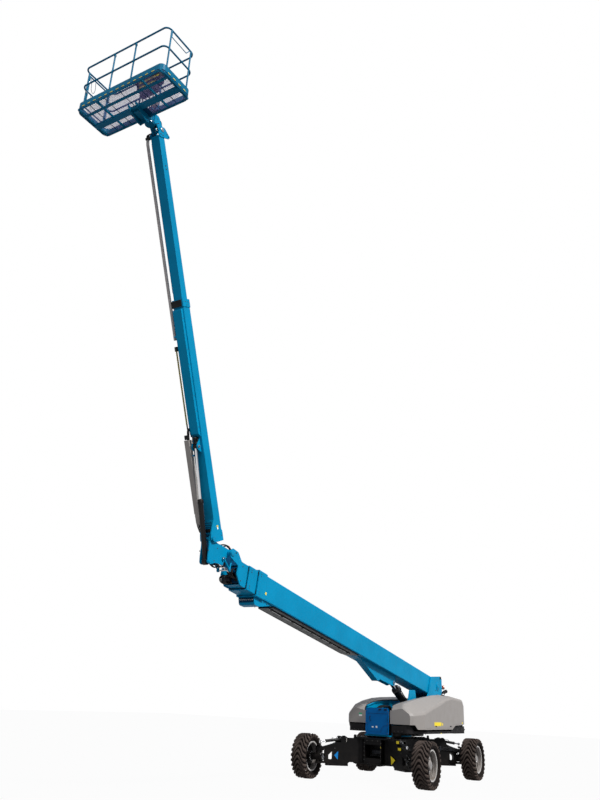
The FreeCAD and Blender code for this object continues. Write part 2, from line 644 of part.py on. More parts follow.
def cowl(stations, hinge_z, side):
    """Moulded engine cover, hinged along its top inner edge."""
    low = [(COWL_NOSE + 50, 1480), (900, 1480, 20), (800, 1370, 30), (-1700, 1370, 30), (-1960, 1475, 30),
           (-3400, 1525), (-3400, 2500), (COWL_NOSE + 50, 2500)]
    bulk = cowl_loft(stations, 0)
    shell = bulk.cut(cowl_loft(stations, COWL_WALL))
    shell = shell.fuse(block((COWL_NOSE - 78, COWL_NOSE), (NOSE_IN, COWL_IN + 5),
                             (1480, stations[0][1] - 65)))
    shell = shell.common(slab_xz(low, (0, COWL_OUT + 100)))
    groove = slab_xz([(x, z + 44) for x, z, *rest in low[:6]] + [(x, z + 38) for x, z,
                                                                 *rest in reversed(low[:6])],
                     (COWL_OUT - 4, COWL_OUT + 100))
    shell = shell.cut(groove)
    arms = [block((x - 15, x + 15), (COWL_IN, COWL_IN + 60), (hinge_z - 20, COWL_LEFT[6][1])).common(bulk)
            for x in (-700, -1400)]
    pin = rod(V(-1450, COWL_IN + 12, hinge_z), V(-650, COWL_IN + 12, hinge_z), 12)
    shell = fuse([shell] + arms + [pin])
    return shell if side > 0 else mirrored(shell)


def warning_beacon():
    base = V(-3440, 300, 2560)
    return fuse([rod(base, base + V(0, 0, 25), 50), rod(base + V(0, 0, 25), base + V(0, 0, 110), 42),
                 block((-3440, -3385), (285, 300), (2545, 2560)), block((-3470, -3400), (270, 330),
                                                                        (2548, 2560))])


def cylinder_barrel(foot, eye, length, radius, bore, boss_r, boss_half, pin_r):
    """Hydraulic cylinder's barrel, with its gland and the bored boss at its foot."""
    line = (eye - foot).normalize()
    body = fuse([rod(foot + line * boss_r * 0.8, foot + line * length, radius),
                 rod(foot + line * (length - radius * 0.9), foot + line * length, radius + 8),
                 across(foot, boss_half, boss_r)])
    body = body.cut(across(foot, 2 * boss_half, pin_r + FIT))
    return body.cut(rod(foot + line * boss_r * 1.5, eye, bore))


def cylinder_rod(foot, eye, start, radius, boss_r, boss_half, pin_r):
    """Hydraulic cylinder's rod from inside its barrel to its eye, with the eye's pin."""
    line = (eye - foot).normalize()
    return fuse([rod(foot + line * start, eye - line * boss_r * 0.6, radius), across(eye, boss_half, boss_r),
                 across(eye, boss_half + EYE_SIDE / 2, pin_r)])


def lift_ends():
    """Foot and rod pins of the lift cylinder."""
    return LIFT_FOOT, along(BOOM_ANGLE, BOOM_PIVOT, LIFT_EYE[0], LIFT_EYE[1])


def lift_cylinder():
    return cylinder_barrel(*lift_ends(), LIFT_BARREL, LIFT_BARREL_R, LIFT_ROD_R + ROD_FIT, 95, 70, 45)


def lift_rod():
    return cylinder_rod(*lift_ends(), 400, LIFT_ROD_R, 70, 60, 35)


# ---- primary boom --------------------------------------------------------------------
def section_sizes(step):
    """Width, underside and top of the base section (0) or of the section that many steps in."""
    inset = step * (MID_GAP + SECTION_WALL)
    return BASE_W - 2 * inset, BASE_LOW + inset, BASE_LOW + BASE_H - inset


def boom_base():
    """Base section with its rounded tail, lift cheeks, head collar and the hose box under its head."""
    width, low, high = section_sizes(0)
    half = width / 2
    tail = slab_xz([(-170, low + 120, 60), (60, low, 40), (60, high - 4), (-170, high - 60, 60)],
                   (-half, half))
    tail_in = slab_xz([(-140, low + 130), (60, low + 30), (80, high - 30), (-140, high - 80)],
                      (25 - half, half - 25))
    tail_in = tail_in.fuse(block((-20, 100), (BASE_WALL - half, half - BASE_WALL),
                                 (low + BASE_WALL, high - BASE_WALL)))
    eye_u, eye_w = LIFT_EYE
    belly = [(eye_u - 130, low + 2), (eye_u - 130, eye_w - 40, 60), (eye_u + 30, eye_w - 100, 90),
             (eye_u + 920, low - 287, 60), (eye_u + 1050, low - 354, 25), (eye_u + 2230, low - 30, 60),
             (eye_u + 2520, low + 2)]
    apron = [(eye_u + 1030, low - 347, 8), (eye_u + 1050, low - 359), (eye_u + 2240, low - 32),
             (eye_u + 2520, low - 4), (eye_u + 2520, low + 2), (eye_u + 2220, low - 14)]
    head = BASE_LENGTH
    box = [(head - 800, low + 2), (head - 270, low - 180, 50), (head - 70, low - 190, 70),
           (head - 15, low - 60, 30),
           (head - 15, low + 2)]
    box_in = [(head - 740, low + 1), (head - 265, low - 168, 40), (head - 77, low - 178, 60),
              (head + 10, low - 60),
              (head + 10, low - 32), (head - 40, low - 32)]
    parts = [tube_section((-40, head), width, low, high, BASE_WALL, 30), tail.cut(tail_in),
             tube_section((head - 330, head), width + 50, low - 25, high + 25, 26, 30),
             slab_xz(box, (40 - half, half - 40)).cut(slab_xz(box_in, (50 - half, half - 50))),
             slab_xz(apron, (-100, 100))]
    parts += both_sides(slab_xz(belly, (75, 100)))
    shape = fuse(parts)
    for y in (1, -1):
        shape = shape.fuse(rod(V(0, y * (half - 12), 0), V(0, y * (half + GAP - 2), 0), 110))
    shape = shape.cut(across(V(0, 0, 0), 400, BOOM_PIN_R + FIT))
    for side in (1, -1):
        shape = shape.fuse(rod(V(eye_u, side * 80, eye_w), V(eye_u, side * 118, eye_w), 50))
    return on_boom(shape.removeSplitter())


def boom_tray():
    """Shallow hose tray under the base section, from the lift cheeks' end to the head's box."""
    low = BASE_LOW - 1
    start = LIFT_EYE[0] + 2600
    end = BASE_LENGTH - 830
    half = BASE_W / 2 - 45
    tray = slab_xz([(start, low), (start, low - 20), (start + 250, low - 38, 60), (end, low - 38, 15),
                    (end, low)],
                   (-half, half))
    hollow = slab_xz([(start + 20, low + 5), (start + 20, low - 14), (start + 255, low - 33),
                      (end + 30, low - 33),
                      (end + 30, low + 5)], (5 - half, half - 5))
    return on_boom(tray.cut(hollow))


def boom_mid():
    """Middle section with its head collar, and the wear pads at its foot."""
    width, low, high = section_sizes(1)
    half = width / 2
    head = BASE_LENGTH + HEAD_STEP
    parts = [tube_section((700, head - 10), width, low, high, SECTION_WALL, 24),
             tube_section((BASE_LENGTH + 30, head), width + 44, low - 22, high + 22, 24, 26)]
    for side in (1, -1):
        for z in (low + 110, high - 110):
            parts.append(block((720, 1100), (side * half, side * (half + MID_GAP - 2)), (z - 60, z + 60)))
    return on_boom(fuse(parts))


def boom_inner():
    """Inner section with the plates of its head, which hold the knuckle and the levelling cylinder."""
    width, low, high = section_sizes(2)
    half = width / 2
    head = INNER_HEAD
    ku, kw = head + KNUCKLE_REACH, KNUCKLE_RISE
    ear = [(head - 330, low - 20, 30), (head - 140, low - 20, 60), (head + 50, low + 170, 60),
           (head + 40, 60, 60),
           (ku + 30, kw - 110, 60), (ku + 90, kw, 70), (ku + 20, kw + 105, 60), (head + 120, kw + 90, 60),
           (head - 60, high + 30, 80), (head - 330, high + 30, 20)]
    shape = fuse([tube_section((900, head - 130), width, low, high, SECTION_WALL, 20),
                  block((head - 320, head - 300), (-half, half), (high - 4, high + 28))]
                 + both_sides(slab_xz(ear, (half - 2, half - 2 + HEAD_PLATE))))
    shape = shape.fuse(across(V(ku, 0, kw), half + HEAD_PLATE + 4, KNUCKLE_PIN_R))
    foot = V(BASE_LENGTH + LEVEL_FOOT_AT[0], 0, LEVEL_FOOT_AT[1])
    shape = shape.fuse(across(foot, half - 3, 25))
    return on_boom(shape.removeSplitter())


def level_ends():
    """Foot and rod pins of the knuckle's levelling cylinder."""
    return along(BOOM_ANGLE, BOOM_PIVOT, BASE_LENGTH + LEVEL_FOOT_AT[0], LEVEL_FOOT_AT[1]), LEVEL_EYE


def level_cylinder():
    return cylinder_barrel(*level_ends(), LEVEL_BARREL, LEVEL_BARREL_R, LEVEL_ROD_R + ROD_FIT, 50, 40, 25)


def level_rod():
    return cylinder_rod(*level_ends(), LEVEL_BARREL - 220, LEVEL_ROD_R, 42, 36, 22)


# ---- jib -----------------------------------------------------------------------------
def jib_knuckle():
    """Pair of plates between the boom's head and the jib, tied by cross plates and the jib's pins."""
    kx, kz = KNUCKLE_PIVOT.x, KNUCKLE_PIVOT.z
    inner = KNUCKLE_HALF
    jx, jz = JIB_PIVOT.x, JIB_PIVOT.z
    fx, fz = JIB_FOOT.x, JIB_FOOT.z
    plate = [(kx - 70, kz - 40, 50), (LEVEL_EYE.x - 90, LEVEL_EYE.z + 80, 60),
             (LEVEL_EYE.x - 50, LEVEL_EYE.z - 60, 40),
             (fx - 190, fz, 60), (fx - 20, fz - 62, 50), (fx + 66, fz - 45, 50), (fx + 72, fz + 110, 80),
             (jx + 75, jz - 160, 80), (jx + 85, jz + 30, 60), (jx + 35, jz + 85, 50), (jx - 65, jz + 80, 60),
             (jx - 175, jz - 50, 90), (jx - 355, jz - 70, 90), (kx - 50, kz + 70, 60)]
    parts = both_sides(slab_xz(plate, (inner - KNUCKLE_PLATE, inner)))
    parts.append(block((kx + 240, kx + 420), (-inner, inner), (kz + 32, kz + 52)))
    parts.append(block((kx + 480, kx + 500), (-inner, inner), (kz - 218, kz + 32)))
    hub = across(KNUCKLE_PIVOT, section_sizes(2)[0] / 2 - GAP, KNUCKLE_PIN_R + 27)
    shape = fuse(parts + [hub]).cut(across(KNUCKLE_PIVOT, 300, KNUCKLE_PIN_R + FIT))
    shape = shape.fuse(across(JIB_PIVOT, JIB_W / 2 + 24, JIB_PIN_R))
    return shape.fuse(across(JIB_FOOT, inner, 35)).removeSplitter()


def jib_outer():
    """Jib's base section with its pivot cheeks, head collar and the cylinder's lugs."""
    low = JIB_UNDER
    high = low + JIB_H
    half = JIB_W / 2
    foot = [(-90, low + 40, 30), (-90, high, 20), (120, high), (420, low + 2), (120, -60, 60), (0, -80, 70),
            (-80, 0, 60)]
    eu, ew = JIB_EYE
    lug = [(eu - 150, low + 3), (eu - 60, ew - 30, 40), (eu, ew - 60, 50), (eu + 60, ew - 20, 40),
           (eu + 180, low + 3)]
    shape = fuse([tube_section((30, JIB_LENGTH), JIB_W, low, high, JIB_WALL, 18),
                  tube_section((JIB_LENGTH - 180, JIB_LENGTH), JIB_W + 24, low - 12, high + 12, 14, 20)]
                 + both_sides(slab_xz(foot, (KNUCKLE_HALF + GAP, half + 10))) + both_sides(slab_xz(lug,
                                                                                                   (60, 80))))
    shape = shape.cut(across(V(0, 0, 0), 300, JIB_PIN_R + FIT))
    for side in (1, -1):
        shape = shape.fuse(rod(V(eu, side * 62, ew), V(eu, side * 88, ew), 34))
    bore = half - JIB_WALL
    shape = shape.cut(block((150, JIB_LENGTH), (-bore, bore), (low + JIB_WALL, high - JIB_WALL)))
    return on_jib(shape.removeSplitter())


def jib_channel():
    """Folded channel under the jib for the hoses, from the cylinder's lugs to the collar."""
    low = JIB_UNDER
    start = JIB_EYE[0] + 210
    end = JIB_LENGTH - 200
    half = JIB_W / 2 - 25
    body = slab_xz([(start, low), (start + 60, low - JIB_CHANNEL, 25), (end - 40, low - JIB_CHANNEL, 25),
                    (end, low)],
                   (-half, half))
    hollow = slab_xz([(start - 5, low + 5), (start + 66, low - JIB_CHANNEL + 5),
                      (end + 30, low - JIB_CHANNEL + 5),
                      (end + 30, low + 5)], (5 - half, half - 5))
    return on_jib(body.cut(hollow))


def jib_fly():
    """Jib's fly section with the head plates that hold the levelling pivot."""
    low = JIB_UNDER + FLY_INSET
    tube = tube_section((JIB_LENGTH - 1400 + 4, JIB_LENGTH + JIB_OUT), FLY_W, low, low + FLY_H, JIB_WALL, 14)
    plate = [(-262, -15, 30), (-60, 105, 60), (40, 60, 50), (110, -160, 50), (40, -200, 40), (-120, -135, 40),
             (-235, -75, 30)]
    plate = [(LEVEL_PIVOT.x + x, LEVEL_PIVOT.z + z, r) for x, z, r in plate]
    half = FLY_W / 2
    shape = fuse([on_jib(tube)] + both_sides(slab_xz(plate, (half - 2, half + 16))))
    return shape.fuse(across(LEVEL_PIVOT, half + 20, LEVEL_PIVOT_R))


def jib_ends():
    """Foot and rod pins of the jib cylinder."""
    return JIB_FOOT, along(JIB_ANGLE, JIB_PIVOT, JIB_EYE[0], JIB_EYE[1])


def jib_cylinder():
    return cylinder_barrel(*jib_ends(), JIB_BARREL, JIB_BARREL_R, JIB_ROD_R + ROD_FIT, 75, 50, 35)


def jib_rod():
    return cylinder_rod(*jib_ends(), JIB_BARREL - 350, JIB_ROD_R, 48, 45, 30)


def hose_tray():
    """Hose trough slung under the jib, beside its cylinder."""
    end = JIB_EYE[0] + 165
    inner = 45 - JIB_W / 2
    outer = inner - 125
    tray = block((560, end), (outer, inner), (-60, 40)).cut(block((550, end + 10), (outer + 4, inner - 4),
                                                                  (-56, 50)))
    arms = [block((x, x + 30), (inner - 40, inner), (-60, JIB_UNDER - 1)) for x in (620, end - 200)]
    return on_jib(fuse([tray] + arms))


# ---- platform ------------------------------------------------------------------------
def platform_leveller():
    """Arms from the levelling pivot to the upright rotator, which turns the platform."""
    px, pz = LEVEL_PIVOT.x, LEVEL_PIVOT.z
    low, high = ROTATOR_Z
    arm = [(px - 60, pz - 40, 50), (px + 60, pz - 80, 40), (px + 150, low + 15, 40),
           (ROTATE_X - 20, low + 15),
           (ROTATE_X - 20, low + 250), (px + 130, low + 270, 60), (px - 40, pz + 80, 60)]
    half = FLY_W / 2 - GAP
    parts = both_sides(slab_xz(arm, (half - 30, half)))
    parts.append(upright(ROTATE_X, 0, ROTATOR_Z, ROTATOR_R))
    parts.append(upright(ROTATE_X, 0, (high - 60, high - 25), ROTATOR_R + 12))
    parts.append(block((ROTATE_X - 110, ROTATE_X - 60), (-half, half), (low + 15, low + 250)))
    shape = fuse(parts)
    return shape.cut(across(LEVEL_PIVOT, 200, LEVEL_PIVOT_R + FIT))


def tube_loop(z, radius, inset=0):
    """One level tube loop round the platform, with rounded corners."""
    half = PLATFORM_WIDTH / 2 - radius - inset
    path = outline(rounded((PLATFORM_X[0] + radius + inset, PLATFORM_X[1] - radius - inset), (-half, half),
                           CORNER_R))
    path.translate(V(0, 0, z))
    edge = path.Edges[0]
    profile = Part.makeCircle(radius, edge.valueAt(edge.FirstParameter), edge.tangentAt(edge.FirstParameter))
    return path.makePipeShell([Part.Wire([profile])], True, False)


def platform_base():
    """Toe board, the members under the floor, the bumper tube and the bracket on the rotator's foot."""
    x0, x1 = PLATFORM_X
    half = PLATFORM_WIDTH / 2
    low = FLOOR_Z
    wall = 6
    toe = slab_xy(rounded((x0, x1), (-half, half), CORNER_R), (low, low + TOE_HEIGHT))
    toe = toe.cut(slab_xy(rounded((x0 + wall, x1 - wall), (wall - half, half - wall), CORNER_R - wall),
                          (low - 5, low + TOE_HEIGHT + 5)))
    parts = [toe, tube_loop(low - 30, 16)]
    for y in (-half + 60, -half * 0.52, half * 0.52, half - 60):
        parts.append(block((x0 + 3, x1 - 3), (y - 15, y + 15), (low - 45, low)))
    beam = x0 + PLATFORM_DEPTH * 0.36
    parts.append(block((beam - 60, beam + 60), (20 - half, half - 20), (low - 70, low)))
    parts.append(block((x1 - 260, x1 - 220), (20 - half, half - 20), (low - 45, low)))
    foot_z = (ROTATOR_Z[0] - 2 - 30, ROTATOR_Z[0] - 2)
    parts.append(upright(ROTATE_X, 0, foot_z, ROTATOR_R + 25))
    parts.append(block((ROTATE_X, beam), (-70, 70), foot_z))
    web = [(ROTATE_X + 95, foot_z[0] + 2), (ROTATE_X + 150, foot_z[0] - 110, 40),
           (ROTATE_X + 240, foot_z[0] - 110, 40),
           (beam + 150, low - 60), (beam + 150, low - 2), (beam - 60, low - 2), (ROTATE_X + 95, foot_z[1])]
    parts += both_sides(slab_xz(web, (98, 112)))
    parts.append(block((ROTATE_X + 150, ROTATE_X + 165), (-100, 100), (foot_z[0] - 90, foot_z[0] + 2)))
    return fuse(parts)


def platform_floor():
    """Floor plate inside the toe board."""
    wall = 6 + FIT
    half = PLATFORM_WIDTH / 2 - wall
    return slab_xy(rounded((PLATFORM_X[0] + wall, PLATFORM_X[1] - wall), (-half, half), CORNER_R - wall),
                   (FLOOR_Z, FLOOR_Z + FLOOR_PLATE))


def rail_frame():
    """All the rails as one frame: top and middle loops on posts, with the gate's way left open."""
    top = FLOOR_Z + RAIL_HEIGHT - TUBE_R
    mid = FLOOR_Z + RAIL_HEIGHT * 0.55
    x0, x1 = PLATFORM_X[0] + TUBE_R, PLATFORM_X[1] - TUBE_R
    centre = (x0 + x1) / 2
    y1 = PLATFORM_WIDTH / 2 - TUBE_R
    foot = FLOOR_Z + TOE_HEIGHT
    posts = [(x, y) for x in (x0, x1) for y in POSTS_Y]
    posts += [(x, y) for x in (x0 + CORNER_R, x1 - CORNER_R) for y in (-y1, y1)]
    parts = [tube_loop(top, TUBE_R), tube_loop(mid, TUBE_R)]
    parts += [upright(x, y, (foot, top), TUBE_R - 1) for x, y in posts]
    grab = [(centre + 290, top), (centre + 290, top - 170), (centre - 180, top - 170), (centre - 290, top)]
    for start, end in zip(grab, grab[1:]):
        parts.append(rod(V(start[0], y1, start[1]), V(end[0], y1, end[1]), 9))
    for x, z in grab[1:3]:
        parts.append(Part.makeSphere(9, V(x, y1, z)))
    shape = fuse(parts)
    return shape.cut(block((centre - GATE_HALF, centre + GATE_HALF), (-y1 - 60, -y1 + 60),
                           (foot, top - TUBE_R - 20)))


def platform_rails():
    """The rail frame cut into its two long sides and its two ends with the corners."""
    frame = rail_frame()
    half = PLATFORM_WIDTH / 2 - TUBE_R - CORNER_R
    middle = block((PLATFORM_X[0] - 50, PLATFORM_X[1] + 50), (-half, half),
                   (FLOOR_Z, FLOOR_Z + RAIL_HEIGHT + 50))
    return frame.common(middle).Solids, frame.cut(middle).Solids


def platform_gate():
    """Swing gate in the platform's right-hand end."""
    y1 = PLATFORM_WIDTH / 2 - TUBE_R
    low = FLOOR_Z + TOE_HEIGHT + 40
    high = FLOOR_Z + RAIL_HEIGHT - 4 * TUBE_R
    centre = (PLATFORM_X[0] + PLATFORM_X[1]) / 2
    radius = TUBE_R - 3
    ends = [centre - GATE_HALF + radius + 5, centre + GATE_HALF - radius - 5]
    bars = [upright(x, -y1, (low, high), radius) for x in ends]
    for z in (low + radius, (low + high) / 2, high - radius):
        bars.append(rod(V(ends[0], -y1, z), V(ends[1], -y1, z), radius))
    return fuse(bars)


def control_box():
    """Operator's control box inside the rails on the jib's side."""
    x = PLATFORM_X[0]
    z = FLOOR_Z + RAIL_HEIGHT
    return slab_xz([(x + 55, z - 400, 20), (x + 55, z - 60, 20), (x + 130, z - 10, 20), (x + 330, z - 90, 20),
                    (x + 330, z - 180, 20), (x + 200, z - 400, 20)], (-250, 450))


# ---- build ---------------------------------------------------------------------------
def save_undercarriage():
    save("chassis_frame", chassis_frame(), CHASSIS_YAW)
    save("slew_ring", slew_ring(), CHASSIS_YAW)
    makers = {"axle_leg_": axle_leg, "knuckle_": steering_knuckle, "steer_cylinder_": steer_cylinder,
              "steer_rod_": steer_rod, "tyre_": tyre, "rim_": rim}
    for fore, sx in (("front", 1), ("rear", -1)):
        for hand, sy in (("left", 1), ("right", -1)):
            for prefix, make in makers.items():
                save(prefix + fore + "_" + hand, make(sx, sy), CHASSIS_YAW)


def main():
    os.makedirs("parts", exist_ok=True)
    save_undercarriage()
    for make in (turret_frame, front_panel, side_trays, counterweight, engine_block, warning_beacon,
                 lift_cylinder, lift_rod, boom_base, boom_tray, boom_mid, boom_inner, jib_knuckle,
                 level_cylinder, level_rod, jib_outer, jib_channel, jib_fly, jib_cylinder, jib_rod, hose_tray,
                 platform_leveller, platform_base, platform_floor, platform_gate, control_box):
        save(make.__name__, make())
    save("cowl_left", cowl(COWL_LEFT, COWL_HINGE_Z[0], 1))
    save("cowl_right", cowl(COWL_RIGHT, COWL_HINGE_Z[1], -1))
    sides, ends = platform_rails()
    save("platform_side_rails", sides)
    save("platform_end_rails", ends)


main()
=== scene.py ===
import json
import math

import bmesh
import bpy
from mathutils import Matrix, Vector


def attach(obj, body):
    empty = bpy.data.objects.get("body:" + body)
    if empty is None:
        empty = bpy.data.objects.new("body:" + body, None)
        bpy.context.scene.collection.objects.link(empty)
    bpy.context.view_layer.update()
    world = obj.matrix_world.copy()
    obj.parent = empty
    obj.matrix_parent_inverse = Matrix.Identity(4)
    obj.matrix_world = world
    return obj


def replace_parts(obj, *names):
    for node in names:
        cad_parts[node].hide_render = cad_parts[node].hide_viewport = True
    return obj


# Boom lift on four swing-out legs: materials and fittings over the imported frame, then floor, light and
# camera.  Metres.  +X is forward along the boom, +Y is the machine's left, +Z is up.

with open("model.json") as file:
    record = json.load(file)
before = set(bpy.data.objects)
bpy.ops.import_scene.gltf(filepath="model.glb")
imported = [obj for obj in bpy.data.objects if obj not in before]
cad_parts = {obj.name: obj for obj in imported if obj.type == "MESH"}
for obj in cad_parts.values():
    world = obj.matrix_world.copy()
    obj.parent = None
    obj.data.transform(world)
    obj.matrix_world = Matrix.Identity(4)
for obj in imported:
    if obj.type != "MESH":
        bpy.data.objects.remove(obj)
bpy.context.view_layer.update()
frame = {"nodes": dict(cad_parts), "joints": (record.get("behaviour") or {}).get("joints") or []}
joints = {joint["name"]: joint for joint in frame["joints"]}
nodes = frame["nodes"]

CORNERS = ("front_left", "front_right", "rear_left", "rear_right")
SIDES = (1, -1)
X, Y, Z = Vector((1, 0, 0)), Vector((0, 1, 0)), Vector((0, 0, 1))
ORIGIN = Vector()


# ---- places --------------------------------------------------------------------------
def place(origin, ahead, up=Z):
    """Local frame with x ahead, z up and y to the left, standing at an origin."""
    x = Vector(ahead).normalized()
    y = up.cross(x).normalized()
    return Matrix.Translation(origin) @ Matrix((x, y, x.cross(y))).transposed().to_4x4()


def spot(joint):
    return Vector(joints[joint]["pos_m"])


def axis(joint):
    return Vector(joints[joint]["axis"])


def flat(point, z=0.0):
    return Vector((point.x, point.y, z))


def mid(centre, half):
    """The limits of a span about its centre."""
    return centre - half, centre + half


def row(first, step, count):
    return [first + step * k for k in range(count)]


def turned(radius, angle):
    return radius * math.cos(angle), radius * math.sin(angle)


WORLD = Matrix.Identity(4)
BOOM = place(spot("boom_lift"), axis("boom_extend"))
JIB = place(spot("jib_luff"), axis("jib_extend"), -X)
WHEEL_AXIS = axis("wheel_spin_front_left")
ROLL = Vector((WHEEL_AXIS.y, -WHEEL_AXIS.x, 0))
UNDER = place(ORIGIN, ROLL)
LIFT = place(spot("lift_barrel_swing"), axis("lift_rod_slide"))
JIB_RAM = place(spot("jib_barrel_swing"), axis("jib_rod_slide"), -X)
LEVEL_RAM = place(spot("level_barrel_swing"), axis("level_rod_slide"))
LEG_PIN = {corner: flat(spot("leg_swing_" + corner)) for corner in CORNERS}
LEG_RUN = {corner: flat(spot("steer_" + corner)) - LEG_PIN[corner] for corner in CORNERS}
LEG_REACH = LEG_RUN["front_left"].length


# ---- materials -----------------------------------------------------------------------
def node(tree, kind, inputs=None, **settings):
    made = tree.nodes.new("ShaderNode" + kind)
    for key, value in settings.items():
        setattr(made, key, value)
    for key, value in (inputs or {}).items():
        if isinstance(value, bpy.types.NodeSocket):
            tree.links.new(value, made.inputs[key])
        else:
            made.inputs[key].default_value = value
    return made


def reckon(tree, operation, first, second):
    return node(tree, "Math", {0: first, 1: second}, operation=operation).outputs[0]


def shade(color, factor):
    return (*[min(1.0, c * factor) for c in color], 1.0)


def noise(tree, coords, scale, detail=4.0, rough=0.55):
    inputs = {"Vector": coords, "Scale": scale, "Detail": detail, "Roughness": rough}
    return node(tree, "TexNoise", inputs).outputs[0]


def spread(tree, value, low, high, to_low=0.0, to_high=1.0):
    """Maps a span of a value to another, and holds it there beyond the ends."""
    inputs = {"Value": value, "From Min": low, "From Max": high, "To Min": to_low, "To Max": to_high}
    return node(tree, "MapRange", inputs).outputs[0]


def blend(tree, factor, first, second):
    return node(tree, "Mix", {0: factor, 6: first, 7: second}, data_type="RGBA").outputs[2]


def surface(name, color, rough, vary, grain=(90, 0.04), edge=0.004, shine=0.5, wear=None, worn=0.35,
            dust=None, scale=1.3, metal=0.0, coat=0.0):
    """A weathered finish: blotchy colour, fine grain, rubbed edges and settled dust."""
    made = bpy.data.materials.new(name)
    made.use_nodes = True
    tree = made.node_tree
    bsdf = tree.nodes["Principled BSDF"]
    coords = node(tree, "TexCoord").outputs["Object"]
    blotch = noise(tree, coords, scale, 5.0)
    skin = blend(tree, spread(tree, blotch, 0.35, 0.65), shade(color, 1 - vary), shade(color, 1 + vary))
    cloud = noise(tree, coords, scale * 6)
    rounded = node(tree, "Bevel", {"Radius": edge}, samples=4).outputs[0]
    if wear:
        true_normal = node(tree, "NewGeometry").outputs["True Normal"]
        corner = node(tree, "VectorMath", {0: rounded, 1: true_normal}, operation="DOT_PRODUCT")
        bare = spread(tree, corner.outputs["Value"], 0.97, 0.8)
        chips = spread(tree, noise(tree, coords, 16, 6.0, 0.7), 0.62 - 0.2 * worn, 0.66)
        skin = blend(tree, reckon(tree, "MULTIPLY", bare, chips), skin, (*wear, 1))
    if dust:
        earth, full, clear = dust
        low = spread(tree, node(tree, "SeparateXYZ", {0: coords}).outputs[2], clear, full)
        patches = spread(tree, noise(tree, coords, 5, 6.0, 0.65), 0.38, 0.72)
        skin = blend(tree, reckon(tree, "MULTIPLY", low, patches), skin, (*earth, 1))
    fine = noise(tree, coords, grain[0], 3.0)
    bump = node(tree, "Bump", {"Height": fine, "Strength": grain[1], "Distance": 0.01, "Normal": rounded})
    for key, value in (("Base Color", skin), ("Normal", bump.outputs[0]),
                       ("Roughness", spread(tree, cloud, 0.3, 0.7, rough * 0.85, min(1.0, rough * 1.2)))):
        tree.links.new(value, bsdf.inputs[key])
    for key, value in (("Metallic", metal), ("Specular IOR Level", shine), ("Coat Weight", coat),
                       ("Coat Roughness", 0.15)):
        bsdf.inputs[key].default_value = value
    return made


def vinyl(name, color, rough=0.45, vary=0.05, shine=0.5):
    return surface(name, color, rough, vary, (120, 0.02), 0.001, shine)


def paint(finish, *names):
    for name in names:
        for held in nodes[name].material_slots:
            held.material = finish


PRIMER = (0.25, 0.26, 0.27)
BLUE = surface("blue_paint", (0.0, 0.24, 0.435), 0.42, 0.07, wear=PRIMER, worn=0.1, shine=0.07)
# painted shade: a darker copy of the blue paint, for blue parts that face down or fill gaps
SHADED_BLUE = surface("blue_paint_painted_shade", (0.0, 0.045, 0.11), 0.45, 0.12, wear=PRIMER, worn=0.15, shine=0.08)
# painted shade: the blue paint darkened for the front panel, whose face looks forward into shade
SHADED_PANEL_BLUE = surface("panel_blue_painted_shade", (0.0, 0.11, 0.34), 0.4, 0.1, wear=PRIMER, worn=0.12, shine=0.1)
# partly painted shade: the blue paint darkened part way towards the shade under the platform and its rails
PART_SHADED_RAIL_BLUE = surface("rail_blue_paint_part_shade", (0.0, 0.145, 0.265), 0.42, 0.1, edge=0.002, wear=PRIMER, worn=0.15,
                    shine=0.1)
BLACK = surface("chassis_paint", (0.0032, 0.0028, 0.0028), 0.55, 0.3, shine=0.12, wear=(0.05, 0.045, 0.04),
                worn=0.25, dust=((0.014, 0.011, 0.009), 0.3, 1.05))
TRAY = surface("tray_paint", (0.01, 0.0085, 0.009), 0.55, 0.15, (60, 0.08), shine=0.15,
               wear=(0.08, 0.07, 0.06))
CHARCOAL = surface("charcoal_paint", (0.014, 0.016, 0.021), 0.5, 0.12, shine=0.25, wear=(0.12, 0.12, 0.12),
                   worn=0.2)
IRON = surface("cast_iron_paint", (0.01, 0.009, 0.009), 0.6, 0.15, (35, 0.25), shine=0.15,
               wear=(0.07, 0.06, 0.055))
COWL = surface("cowl_plastic", (0.275, 0.252, 0.232), 0.45, 0.03, (220, 0.05), 0.012, 0.35, scale=0.7)
ENGINE = surface("engine_grey", (0.09, 0.09, 0.095), 0.6, 0.2, (40, 0.2), wear=(0.22, 0.22, 0.22))
SILVER = surface("rim_paint", (0.31, 0.285, 0.265), 0.45, 0.1, (70, 0.06), shine=0.35,
                 wear=(0.14, 0.11, 0.09), dust=((0.13, 0.1, 0.075), 0.2, 0.75))
RUBBER = surface("tyre_rubber", (0.05, 0.037, 0.031), 0.85, 0.25, (120, 0.25), 0.01, 0.15, scale=4,
                 wear=(0.14, 0.11, 0.09), worn=1.0, dust=((0.085, 0.064, 0.052), 0.0, 0.9))
RUBBER_DARK = surface("tyre_carcass", (0.01, 0.0075, 0.0065), 0.9, 0.25, (120, 0.25), 0.008, 0.08,
                      scale=4, dust=((0.018, 0.013, 0.011), 0.0, 0.9))
RAM_BLACK = surface("ram_paint", (0.007, 0.006, 0.006), 0.42, 0.15, shine=0.2, wear=(0.1, 0.1, 0.1))
CHROME = surface("chrome", (0.62, 0.62, 0.63), 0.14, 0.03, (300, 0.01), metal=1.0)
STEEL = surface("plated_steel", (0.42, 0.42, 0.43), 0.34, 0.1, (150, 0.05), 0.002, metal=1.0)
GREY_TRAY = surface("tray_grey", (0.3, 0.275, 0.25), 0.5, 0.08, edge=0.002, shine=0.3, wear=(0.2, 0.2, 0.2))
MESH = surface("floor_mesh", (0.17, 0.15, 0.34), 0.55, 0.06, (160, 0.1), 0.001, 0.2)
COIL = surface("coil_yellow", (0.6, 0.5, 0.1), 0.5, 0.1, (260, 0.05), 0.001)
CONDUIT = surface("conduit_grey", (0.42, 0.385, 0.36), 0.55, 0.1, (120, 0.15), 0.002, 0.3, scale=8)
HOSE = surface("hose_rubber", (0.006, 0.006, 0.0065), 0.6, 0.2, (400, 0.2), 0.001, 0.2)
